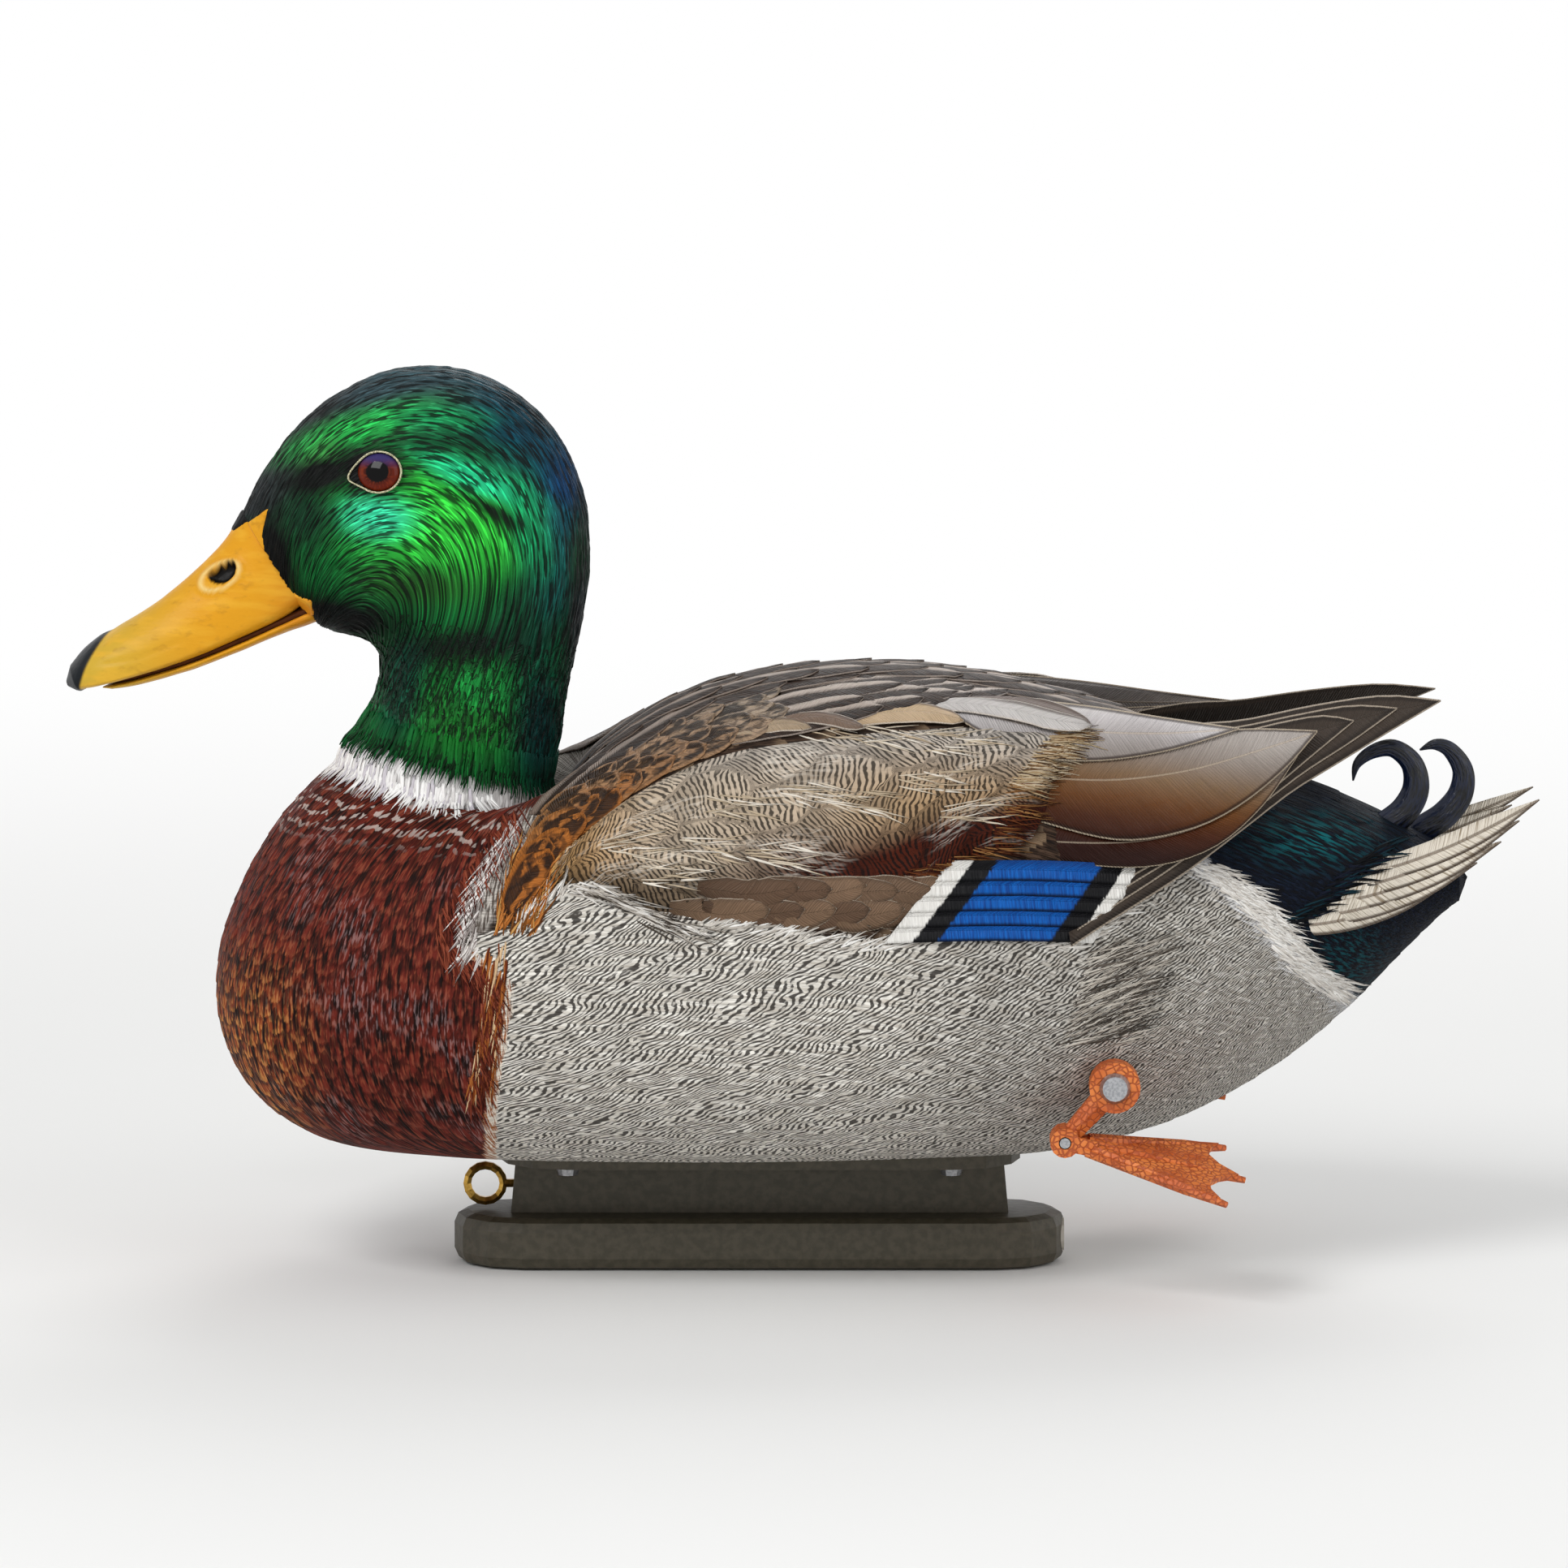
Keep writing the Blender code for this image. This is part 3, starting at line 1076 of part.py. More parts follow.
def make_web(heel, root):
    """The web with its three toes, flat, with the ankle at the origin."""
    toes = [(FOOT_LENGTH * 0.9, -FOOT_HALF_WIDTH), (FOOT_LENGTH, 0.0), (FOOT_LENGTH * 0.88, FOOT_HALF_WIDTH)]
    edge = [toes[0], *scallop(toes[0], toes[1]), toes[1], *scallop(toes[1], toes[2]), toes[2]]
    web = upright("web_form", [(heel, -root), *edge, (heel, root)], -WEB_THICK / 2, WEB_THICK / 2, 0.0)
    for i, (x, y) in enumerate(toes):
        tip = Vector((x + TOE_RADIUS, y * 1.04, -TOE_RADIUS * 0.3))
        base = Vector((heel + TOE_RADIUS, y * 0.12, 0.0))
        spots = [base, base.lerp(tip, 0.35), base.lerp(tip, 0.7), tip]
        join(web, as_mesh(tube(f"toe_{i}", spots, [TOE_RADIUS * k for k in (1.15, 1.0, 0.85, 0.4)])))
    return web


def scallop(a, b, count=4, sag=0.12):
    """The web's edge between two toes, drawn in towards the ankle."""
    edge = []
    for i in range(1, count):
        t = i / count
        pull = 1.0 - sag * math.sin(math.pi * t)
        edge.append(((a[0] + (b[0] - a[0]) * t) * pull, a[1] + (b[1] - a[1]) * t))
    return edge


def placed(obj, matrix):
    """The evaluated solid of a form built at the origin, as a cutter-side mesh moved by a matrix."""
    made = solid_copy(obj, f"{obj.name}_placed", None, (0.0, 0.0, 0.0))
    made.matrix_world = matrix
    return made


# Assembly


def make_colours():
    return {
        "breast_shell": paint("chestnut", (0.105, 0.024, 0.014), 0.5),
        "hull_shell": paint("pale_grey", (0.42, 0.39, 0.35), 0.55),
        "back_shell": paint("brown_grey", (0.16, 0.125, 0.095), 0.55),
        "rump_shell": paint("blue_black", (0.008, 0.012, 0.02), 0.45),
        "head": paint("bottle_green", (0.006, 0.10, 0.035), 0.35),
        "collar": paint("white", (0.80, 0.79, 0.76), 0.55),
        "bill": paint("yellow", (0.78, 0.42, 0.03), 0.35),
        "eye": paint("brown_glass", (0.09, 0.018, 0.008), 0.05),
        "wing": paint("fawn_grey", (0.38, 0.31, 0.23), 0.55),
        "speculum": paint("blue", (0.012, 0.09, 0.50), 0.35),
        "tertials": paint("taupe", (0.25, 0.165, 0.10), 0.45),
        "primaries": paint("dark_brown", (0.055, 0.043, 0.035), 0.45),
        "tail": paint("ivory", (0.72, 0.66, 0.56), 0.5),
        "curl": paint("black", (0.006, 0.008, 0.014), 0.3),
        "keel": paint("olive_brown", (0.06, 0.052, 0.035), 0.6),
        "leg": paint("orange", (0.62, 0.17, 0.02), 0.45),
        "foam": paint("foam", (0.75, 0.72, 0.62), 0.9),
        "fittings": paint("nylon", (0.6, 0.58, 0.52), 0.5),
        "steel": paint("steel", (0.55, 0.55, 0.56), 0.35, 1.0),
        "ballast": paint("lead", (0.20, 0.20, 0.21), 0.6, 1.0),
        "brass": paint("brass", (0.72, 0.50, 0.20), 0.35, 1.0),
    }


def main():
    clear_scene()
    colours = make_colours()
    neck_frame = make_empty("neck_axis", COLLAR_TOP, (0.0, NECK_TILT, 0.0))
    shells = make_shells(colours)
    core = make_core(neck_frame, shells["breast_shell"], colours["foam"])
    make_neck(neck_frame, shells["breast_shell"], colours)
    make_head(neck_frame, colours)
    side = Side(body_outside())
    make_wings(side, colours)
    make_tail(side, shells["rump_shell"], core, colours)
    make_keel(shells["hull_shell"], core, colours)
    make_legs(side, shells["hull_shell"], core, colours)


main()
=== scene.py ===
"""Dressing of the floating mallard drake decoy: plumage, bill, eyes, feathers, legs and studio."""

import json
import math
from collections import namedtuple

import bpy
import numpy as np
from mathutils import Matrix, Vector
from mathutils.bvhtree import BVHTree


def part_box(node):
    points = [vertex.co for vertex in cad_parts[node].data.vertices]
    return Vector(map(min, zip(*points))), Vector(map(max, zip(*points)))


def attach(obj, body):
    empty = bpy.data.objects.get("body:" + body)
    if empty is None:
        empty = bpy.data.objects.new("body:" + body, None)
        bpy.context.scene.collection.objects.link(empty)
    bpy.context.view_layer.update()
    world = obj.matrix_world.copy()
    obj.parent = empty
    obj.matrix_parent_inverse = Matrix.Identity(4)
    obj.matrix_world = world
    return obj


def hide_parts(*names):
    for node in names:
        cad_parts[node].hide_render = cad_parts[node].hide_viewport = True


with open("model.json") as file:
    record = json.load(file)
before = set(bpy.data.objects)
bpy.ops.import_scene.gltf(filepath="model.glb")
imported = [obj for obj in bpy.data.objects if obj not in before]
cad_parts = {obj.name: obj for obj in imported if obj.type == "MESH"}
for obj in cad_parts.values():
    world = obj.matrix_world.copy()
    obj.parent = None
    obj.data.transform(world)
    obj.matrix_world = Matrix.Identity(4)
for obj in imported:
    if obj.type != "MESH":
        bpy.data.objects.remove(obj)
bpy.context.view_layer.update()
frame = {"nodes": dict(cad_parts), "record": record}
MM = 0.001
SIDES = (("left", 1), ("right", -1))

# Forms shared with the solids, in mm. Section rows: two ends (x, z), half width, share, two roundnesses.
BODY = [
    (-68.5, 134.5, -141, 138.5, 36, 0.5, 2, 2), (-65, 139.5, -151, 126.5, 43, 0.5, 2, 2),
    (-61, 144.5, -160.5, 110, 51, 0.5, 2, 2), (-56.5, 149, -167, 91, 58.5, 0.51, 2, 2),
    (-51, 153, -167, 70, 65, 0.52, 2, 2), (-44, 157.5, -157, 50, 70.5, 0.54, 2, 2.1),
    (-34, 162.5, -135, 37, 75, 0.56, 2, 2.3), (-20, 167, -100, 33, 78, 0.58, 2.1, 2.5),
    (0, 170.5, -58, 32, 79.6, 0.59, 2.1, 2.6), (25, 171.5, -10, 32, 80, 0.6, 2.1, 2.6),
    (52, 168.5, 35, 32.5, 77.5, 0.6, 2.1, 2.4), (80, 162, 72, 34, 71.5, 0.59, 2.1, 2.2),
    (105, 154, 105, 42, 62.5, 0.57, 2, 2.1), (128, 146, 133, 56, 52, 0.55, 2, 2),
    (148, 138.5, 155, 73, 41, 0.52, 2, 2), (166, 130.5, 170, 88, 29.5, 0.5, 2, 2),
    (180, 123, 181, 99, 19, 0.5, 2, 2), (188, 118, 188.5, 105, 11, 0.5, 2, 2),
]
STERN = (191.0, 0.0, 111.5)
FLOOR = 35.0
HEAD = [
    (-69.3, 152, -124, 160.5, 27, 0.5, 2, 2), (-66.8, 168, -121.2, 167.5, 25.5, 0.5, 2, 2),
    (-63, 185, -120.3, 173.5, 25.2, 0.5, 2, 2), (-60.6, 203, -121, 177, 25.6, 0.5, 2, 2),
    (-62.5, 223, -123.3, 179.7, 26.2, 0.52, 2, 2.1), (-72.5, 243, -126.6, 181.3, 26.5, 0.54, 2, 2.2),
    (-91.5, 256.3, -130.3, 182.2, 26, 0.55, 2.1, 2.3), (-114, 258.2, -133.7, 183, 24.6, 0.56, 2.1, 2.3),
    (-133, 250.6, -136.4, 184, 22, 0.57, 2.1, 2.2), (-146, 239, -138.2, 185, 18.6, 0.58, 2.1, 2.1),
    (-154.5, 227, -139.4, 186, 15, 0.58, 2.1, 2), (-159.3, 217.5, -140, 187, 12, 0.58, 2.1, 2),
]
UPPER_BILL = [
    (-159.8, 217.2, -142.8, 190.4, 11.8, 0.8, 2, 3), (-165, 208.8, -149, 186.2, 11.4, 0.8, 2, 3),
    (-174, 199.6, -161, 180.8, 11.2, 0.82, 2.1, 3.2),
    (-185.6, 190.2, -174.5, 175.4, 11.8, 0.84, 2.2, 3.4),
    (-196.6, 183.4, -189, 170.9, 12.8, 0.86, 2.4, 3.6),
    (-204.2, 177.8, -200, 167.9, 11.8, 0.84, 2.4, 3.2), (-208.6, 172.6, -206.2, 166.3, 8, 0.7, 2.2, 2.6),
]
UPPER_TIP = (-210.0, 0.0, 167.6)
LOWER_BILL = [
    (-142, 189, -140.5, 184.9, 9.4, 0.3, 3, 2), (-149.4, 185.4, -150.4, 181.4, 9.6, 0.3, 3, 2),
    (-161.2, 180, -161.8, 176.6, 9.2, 0.3, 3, 2), (-174.7, 174.6, -175, 171.6, 9.4, 0.3, 3, 2),
    (-189, 170.1, -189.2, 167.6, 9.2, 0.3, 3, 2), (-197, 167.8, -197.2, 166.2, 6.4, 0.3, 3, 2),
]
LOWER_TIP = (-200.5, 0.0, 166.4)
NECK = (-101.3, 0.0, 141.8)
NECK_TILT = math.radians(14.5)
PANEL_UPPER = [(-77, 117), (-66, 129), (-48, 143), (-25, 153.5), (3, 158.5), (42, 161), (79, 158)]
PANEL_LOWER = [(-80, 113), (-60, 111.5), (-35, 111), (-5, 109), (24, 107.5), (46, 125), (63, 128.5)]

# The picture plane: pixels of the photograph's frame to mm, seen from 8 degrees above the level
PIXELS = 1932
SCALE = 0.2327
RISE = 0.235
VIEW_TIP = math.radians(8.0)
SLOPE = math.tan(VIEW_TIP)
ZERO_COLUMN = 987.5
WATER_ROW = 1300.0
WATER_HEIGHT = 60.0
VIEW_WAY = Vector((0.0, 1.0, -SLOPE)).normalized()
FAR = 300.0
OVERHEAD = 400.0

# How finely the pieces are divided
BODY_STRETCH = 34
BODY_SIDES = 460
PANEL_ROWS = 150
PANEL_COLUMNS = 64
HEAD_STRETCH = 30
HEAD_SIDES = 420
BILL_STRETCH = 22
BILL_SIDES = 120


def to_pixels(points):
    """Where points in mm appear in the photograph's frame, the right side folded onto the left."""
    across = ZERO_COLUMN + points[..., 0] / SCALE
    down = WATER_ROW - (points[..., 2] - WATER_HEIGHT - np.abs(points[..., 1]) * SLOPE) / RISE
    return across, down


def from_pixels(px, py, out=0.0):
    """The x and z of what shows at a pixel, when it stands out to the left of the middle by so much."""
    return (px - ZERO_COLUMN) * SCALE, WATER_HEIGHT + (WATER_ROW - py) * RISE + out * SLOPE


# Arithmetic on arrays


def step(x, low, high):
    """A smooth rise from 0 to 1 between two places."""
    t = np.clip((x - low) / (high - low), 0.0, 1.0)
    return t * t * (3 - 2 * t)


def hill(x, width):
    """A smooth hill, 1 high at 0."""
    return np.exp(-((x / width) ** 2))


def ridge(x, width):
    """A sharp ridge, 1 high at 0 and flat beyond its width."""
    return np.clip(1 - np.abs(x) / width, 0, 1)


def turned(x, y, degrees):
    """Coordinates read along axes turned by an angle."""
    c, s = math.cos(math.radians(degrees)), math.sin(math.radians(degrees))
    return x * c + y * s, y * c - x * s


def triple(*values):
    """Numbers or arrays side by side as one array of vectors."""
    return np.stack(np.broadcast_arrays(*values), axis=-1)


def unit(vectors):
    return vectors / np.maximum(np.linalg.norm(vectors, axis=-1, keepdims=True), 1e-9)


def circle(count):
    """Angles evenly spaced round a turn."""
    return np.linspace(0, math.tau, count, endpoint=False)


def hashed(i, j, seed):
    """A number from 0 to 1 that depends on two whole numbers."""
    n = (i * 374761393 + j * 668265263 + seed * 974634777) & 0xFFFFFFFF
    n = ((n ^ (n >> 13)) * 1274126177) & 0xFFFFFFFF
    return ((n ^ (n >> 16)) & 0xFFFF) / 65535.0


def noise(u, v, seed):
    """Smooth noise from 0 to 1 over a plane."""
    u, v = np.asarray(u, float), np.asarray(v, float)
    i, j = np.floor(u).astype(np.int64), np.floor(v).astype(np.int64)
    f, g = step(u - i, 0, 1), step(v - j, 0, 1)
    low = hashed(i, j, seed) * (1 - f) + hashed(i + 1, j, seed) * f
    high = hashed(i, j + 1, seed) * (1 - f) + hashed(i + 1, j + 1, seed) * f
    return low * (1 - g) + high * g


def strands(u, v, coarse, fine, seed, share=0.5):
    """Long raised strands, coarse ones with a share of fine ones, about 0."""
    rough = noise(u * coarse[0], v * coarse[1], seed)
    return rough + share * noise(u * fine[0], v * fine[1], seed + 2) - (0.5 + share / 2)


def scales(u, v, length, width, seed):
    """Overlapping feather tips in staggered rows: place along and across a feather, and its own number."""
    row = np.floor(u / length).astype(np.int64)
    found = []
    for r in (row - 1, row):
        shift = 0.5 * (r % 2)
        column = np.floor(v / width - shift + 0.5).astype(np.int64)
        jitter = (hashed(r, column, seed) - 0.5) * 0.25
        along = (u - r * length) / (2 * length) + jitter * 0.4
        across = (v / width - shift - column) * 2.0
        found.append((along, across, hashed(r, column, seed + 7)))
    front, behind = found
    on_top = front[0] < 1.0 - 0.34 * front[1] ** 2
    return [np.where(on_top, a, b) for a, b in zip(front, behind)]


def arc(points):
    """Running length along a line of points, or down the rows of a grid of them."""
    run = np.cumsum(np.linalg.norm(np.diff(points, axis=0), axis=-1), axis=0)
    return np.concatenate([np.zeros_like(run[:1]), run])


def around(skin):
    """Length round each ring of a closed skin, from its top to either side."""
    ring = np.linalg.norm(np.roll(skin, -1, axis=1) - skin, axis=-1)
    run = np.cumsum(ring, axis=1) - ring
    return np.minimum(run, run[:, -1:] + ring[:, -1:] - run)


def curve(rows, per):
    """A smooth curve through rows, per points to each stretch."""
    rows = np.asarray(rows, float)
    last = len(rows) - 1
    i = np.arange(last)
    a, b, c, d = (rows[k][:, None, :] for k in (np.maximum(i - 1, 0), i, i + 1, np.minimum(i + 2, last)))
    t = (np.arange(per) / per)[None, :, None]
    read = 0.5 * (2 * b + (c - a) * t + (2 * a - 5 * b + 4 * c - d) * t**2 + (3 * b - a - 3 * c + d) * t**3)
    return np.vstack([read.reshape(-1, rows.shape[1]), rows[-1:]])


def sampled(rows, count):
    """A smooth curve through rows read at evenly spaced places."""
    line = curve(rows, 12)
    run = arc(line[:, :2])
    places = np.linspace(0, run[-1], count)
    return triple(*(np.interp(places, run, column) for column in line.T))


def rings(rows, angles):
    """The rings of a loft over section rows, as an array of points in mm."""
    c, s = np.cos(angles)[None, :], np.sin(angles)[None, :]
    top, bottom = rows[:, None, 0:2], rows[:, None, 2:4]
    width, share, round_top, round_bottom = (rows[:, k, None] for k in range(4, 8))
    power = 2.0 / np.where(c >= 0, round_top, round_bottom)
    height = np.sign(c) * np.abs(c) ** power * np.where(c >= 0, share, 1.0 - share)
    side = np.sign(s) * np.abs(s) ** power * width
    middle = top - (top - bottom) * share[..., None]
    place = middle + (top - bottom) * height[..., None]
    return triple(place[..., 0], side, place[..., 1])


def outward(points, wrapped):
    """Unit normals of a grid of points, away from its middle."""
    along = np.gradient(points, axis=0)
    if wrapped:
        across = np.roll(points, -1, axis=1) - np.roll(points, 1, axis=1)
    else:
        across = np.gradient(points, axis=1)
    normal = unit(np.cross(along, across))
    away = points - points.mean(axis=(0, 1))
    return normal if (normal * away).sum() > 0 else -normal


def grid_faces(rows, columns, wrapped=False):
    """The four-sided faces of a grid of points, whose columns may close into rings."""
    i, j = np.meshgrid(np.arange(rows - 1), np.arange(columns if wrapped else columns - 1), indexing="ij")
    here, below, k = i * columns, (i + 1) * columns, (j + 1) % columns
    return triple(here + j, below + j, below + k, here + k).reshape(-1, 4)


def skin_faces(skin):
    """The faces of a closed skin, turned outward."""
    return grid_faces(*skin.shape[:2], True)[:, ::-1]


# Procedural paint


def rgb(text):
    """A colour written as it looks on a screen, as the shader wants it."""
    parts = [int(text[i:i + 2], 16) / 255.0 for i in (0, 2, 4)]
    return tuple(p / 12.92 if p <= 0.04045 else ((p + 0.055) / 1.055) ** 2.4 for p in parts) + (1.0,)


def blend(base, text, share):
    """Colours of points with a share of another colour laid over them."""
    return base + (np.array(rgb(text)) - base) * share[..., None]


def colour_rows(*stops):
    """Colours at places along a line, as a function that reads between them."""
    places = [p for p, _ in stops]
    table = np.array([rgb(c) for _, c in stops])
    return lambda x: triple(*(np.interp(x, places, column) for column in table.T))


def written(kind):
    """A way to write one kind of sum with terms."""
    return lambda term, *others: term.paint.math(kind, term, *others)


class Term:
    """A value in a material that can be written in sums."""

    __add__ = __radd__ = written("ADD")
    __mul__ = __rmul__ = written("MULTIPLY")
    __sub__ = written("SUBTRACT")
    __truediv__ = written("DIVIDE")
    abs = written("ABSOLUTE")
    sin = written("SINE")
    root = written("SQRT")
    least = written("MINIMUM")

    def __init__(self, paint, socket):
        self.paint = paint
        self.socket = socket

    def __rsub__(self, other):
        return self.paint.math("SUBTRACT", other, self)

    def step(self, low, high):
        """A smooth rise from 0 to 1, or a fall where the first place is the higher one."""
        inputs = {"Value": self, "From Min": low, "From Max": high}
        return self.paint.made("ShaderNodeMapRange", inputs, "Result", interpolation_type="SMOOTHSTEP")


class Paint:
    """A procedural material."""

    def __init__(self, name, rough, gloss=0.5, metallic=0.0):
        self.material = bpy.data.materials.new(name)
        self.material.use_nodes = True
        self.tree = self.material.node_tree
        self.shader = self.tree.nodes["Principled BSDF"]
        for key, value in (("Roughness", rough), ("Specular IOR Level", gloss), ("Metallic", metallic)):
            self.shader.inputs[key].default_value = value

    def made(self, kind, inputs, output=0, **settings):
        """The result of a new node with these settings and inputs."""
        node = self.tree.nodes.new(kind)
        for key, value in settings.items():
            setattr(node, key, value)
        for key, value in inputs.items():
            self.put(node.inputs[key], value)
        return Term(self, node.outputs[output])

    def put(self, socket, value):
        """Gives a socket a term, a number or a colour's text."""
        if isinstance(value, Term):
            self.tree.links.new(value.socket, socket)
        else:
            socket.default_value = rgb(value) if isinstance(value, str) else value

    def math(self, kind, *values):
        return self.made("ShaderNodeMath", dict(enumerate(values)), operation=kind)

    def vector(self, *values):
        return self.made("ShaderNodeCombineXYZ", dict(enumerate(values)))

    def split(self, vector):
        node = self.made("ShaderNodeSeparateXYZ", {0: vector}).socket.node
        return [Term(self, out) for out in node.outputs]

    def values(self, name):
        """The three numbers that a piece's points carry under a name."""
        return self.split(self.made("ShaderNodeAttribute", {}, "Vector", attribute_name=name))

    def tint(self):
        """The colour that a piece's points carry."""
        return self.made("ShaderNodeAttribute", {}, "Color", attribute_name="tint")

    def place(self):
        """The object's own coordinates in mm."""
        inputs = {0: self.made("ShaderNodeTexCoord", {}, "Object"), "Scale": 1.0 / MM}
        return self.split(self.made("ShaderNodeVectorMath", inputs, operation="SCALE"))

    def noise(self, place, detail):
        inputs = {"Vector": self.vector(*place), "Scale": 1.0, "Detail": detail}
        return self.made("ShaderNodeTexNoise", inputs, "Fac")

    def mix(self, share, a, b, kind="MIX"):
        return self.made("ShaderNodeMix", {0: share, 6: a, 7: b}, 2, data_type="RGBA", blend_type=kind)

    def over(self, colour, *coats):
        """A colour with coats laid over it in turn, each a share and a colour."""
        for share, coat in coats:
            colour = self.mix(share, colour, coat)
        return colour

    def shade(self, colour, value):
        """A colour made lighter or darker by a value about 1."""
        return self.mix(1.0, colour, self.vector(value, value, value), "MULTIPLY")

    def done(self, colour, relief=None, depth=0.0):
        """The finished material, with a relief so many metres deep."""
        self.put(self.shader.inputs["Base Color"], colour)
        if relief is not None:
            inputs = {"Strength": 1.0, "Distance": depth, "Height": relief}
            self.put(self.shader.inputs["Normal"], self.made("ShaderNodeBump", inputs))
        return self.material


def worm_lines(p, u, v, pitch, bend, swing):
    """Fine wavy dark lines across the feathers, 0 between them and 1 on them."""
    sway = p.noise((u / 20.0, v / 10.0, 4.0), 1.0)
    ripple = p.noise((u / 5.0, v / 3.2, 9.0), 2.0)
    wave = ((u / pitch + sway * swing + ripple * bend) * math.tau).sin()
    gaps = p.noise((u / 2.2, v / 2.6, 2.0), 1.0).step(0.26, 0.46)
    return wave.step(-0.3, 0.5) * gaps


def chest_coat(p, fall, girth, tip, low, dash, hang, wisp):
    """Chestnut barbs in hanging rows, golden low in front, with patches of painted lilac sheen and pale
    ticks under the neck ring.
    """
    patch = p.noise((fall / 34.0, girth / 24.0, 8.0), 1.0)
    sway = p.noise((fall / 14.0, girth / 9.0, 2.0), 2.0)
    rows = (fall * (math.tau / 3.4) + sway * 16.0 + hang * 3.0).sin().step(0.25, 0.7)
    ticks = rows * p.noise((fall / 3.0, girth / 1.6, 7.0), 0.0).step(0.46, 0.54)
    pale_tip = (tip + (wisp - 0.5) * 0.6).step(0.72, 0.95) * (0.25 + low * 0.3)
    dark_root = (tip + (hang - 0.5) * 0.5).step(0.68, 0.48) * (0.55 + low * 0.2)
    return p.over(
        p.mix(hang.step(0.36, 0.64), "260A07", "66231A"),
        (low * hang.step(0.36, 0.66) * 0.75, "964820"),
        (wisp.step(0.5, 0.64) * 0.6, p.mix(low, "8C4630", "D89652")),
        (pale_tip, p.mix(low, "96503C", "D8944C")),
        (dark_root, "140503"),
        (hang.step(0.46, 0.36) * 0.75, "0E0403"),
        # Painted sheen: lilac-grey patches where the chestnut catches the light
        (patch.step(0.5, 0.64) * wisp.step(0.5, 0.64) * 0.35, "9C888C"),
        (ticks * dash * 0.66, "D0C2BA"),
    )


def flank_coat(p, u, v, tip, low, strand):
    """Pale feathers crossed by fine wavy lines, each painted lighter at its tip and darker at its root as
    shade under the tip before it, and darker towards the stern.
    """
    lines = worm_lines(p, u, v, 1.9, 2.4, 6.6 - low * 4.2)
    # Painted light and shade: each feather lighter at its tip and darker at its root, under the tip that
    # overlaps it
    pale = p.shade(p.mix(strand.step(0.3, 0.7), "CBC4B9", "F4F0E8"), 0.88 + tip * 0.24)
    return p.shade(p.mix(lines * 0.92, pale, "2E2925"), 1.0 - low * 0.24)


def rump_coat(p, strand, fine, streak, glow):
    """Blue-black feathers with a painted green-teal sheen."""
    return p.over(
        p.mix(streak, "020308", "0C1424"),
        # Painted sheen: teal strands where the glow share is high
        (glow * strand.step(0.47, 0.6), "0F666C"),
        (fine.step(0.6, 0.72) * 0.3, "202C48"),
    )


def plumage(name):
    """The body skin, where chestnut breast, lined flank, brown back and black rump meet raggedly."""
    p = Paint(name, 0.66, 0.1)
    u, v, tip = p.values("flow")
    # glow carries where the rump's painted green sheen lies
    fall, girth, glow = p.values("fall")
    breast, flank, rump = p.values("zone")
    low, dash, _ = p.values("cell")
    strand = p.noise((u / 11.0, v / 1.1, 0.0), 2.0)
    fine = p.noise((u / 5.0, v / 0.55, 5.0), 2.0)
    hang = p.noise((fall / 8.0, girth / 1.15, 0.0), 2.0)
    wisp = p.noise((fall / 4.0, girth / 0.6, 5.0), 2.0)
    streak = (strand * 0.55 + fine * 0.45).step(0.38, 0.62)
    rag = (strand - 0.5) * 14.0 + (fine - 0.5) * 9.0
    torn = (hang - 0.5) * 12.0 + (wisp - 0.5) * 10.0
    back = p.mix(tip.step(0.75, 0.95) * 0.55, p.mix(streak, "150E0B", "4E3C30"), "9C8368")
    strip = (rump + 12.0 + rag).step(0.0, 8.0) * (flank + rag * 0.3).step(-2.0, 2.0)
    shoulder = (breast + 10.0 + rag * 0.3).step(-1.5, 1.5) * flank.step(1.0, -4.0)
    seam = (breast + 3.2 + torn * 0.25).step(-0.4, 0.4) * flank.step(2.0, 5.0)
    colour = p.over(
        back,
        ((flank + rag * 0.5).step(-0.6, 0.6), flank_coat(p, u, v, tip, low, strand)),
        (strip * 0.85, p.mix(streak, "A9A9AE", "E6E6E8")),
        ((rump + rag * 0.7).step(-0.5, 0.5), rump_coat(p, strand, fine, streak, glow)),
        (shoulder, p.mix(wisp.step(0.4, 0.62), "5E544D", "CFC8C0")),
        (seam * 0.85, p.mix(wisp.step(0.46, 0.56), "A4602E", "EDE3D4")),
        ((breast + torn * 0.5).step(-0.4, 0.4), chest_coat(p, fall, girth, tip, low, dash, hang, wisp)),
    )
    relief = p.mix(breast.step(-1.0, 1.0), streak * 0.6 + fine * 0.4, hang * 0.8 + wisp * 0.6)
    return p.done(colour, relief, 0.0007)


def head_paint(name):
    """Glossy strands in the colour of each point, with dark scallops on the neck."""
    p = Paint(name, 0.5, 0.12)
    u, v, neck = p.values("flow")
    tip, _, _ = p.values("cell")
    tint = p.tint()
    long = p.noise((u / 9.0, v / 1.2, 0.0), 1.5)
    short = p.noise((u / 5.5, v / 0.75, 5.0), 1.5)
    colour = p.over(
        tint,
        (long.step(0.55, 0.42) * 0.93, p.shade(tint, 0.06)),
        (short.step(0.54, 0.64) * 0.7, p.shade(tint, 2.5)),
        (tip.step(0.72, 0.98) * neck * 0.8, p.shade(tint, 0.1)),
    )
    return p.done(colour, long + short * 0.6, 0.0010)


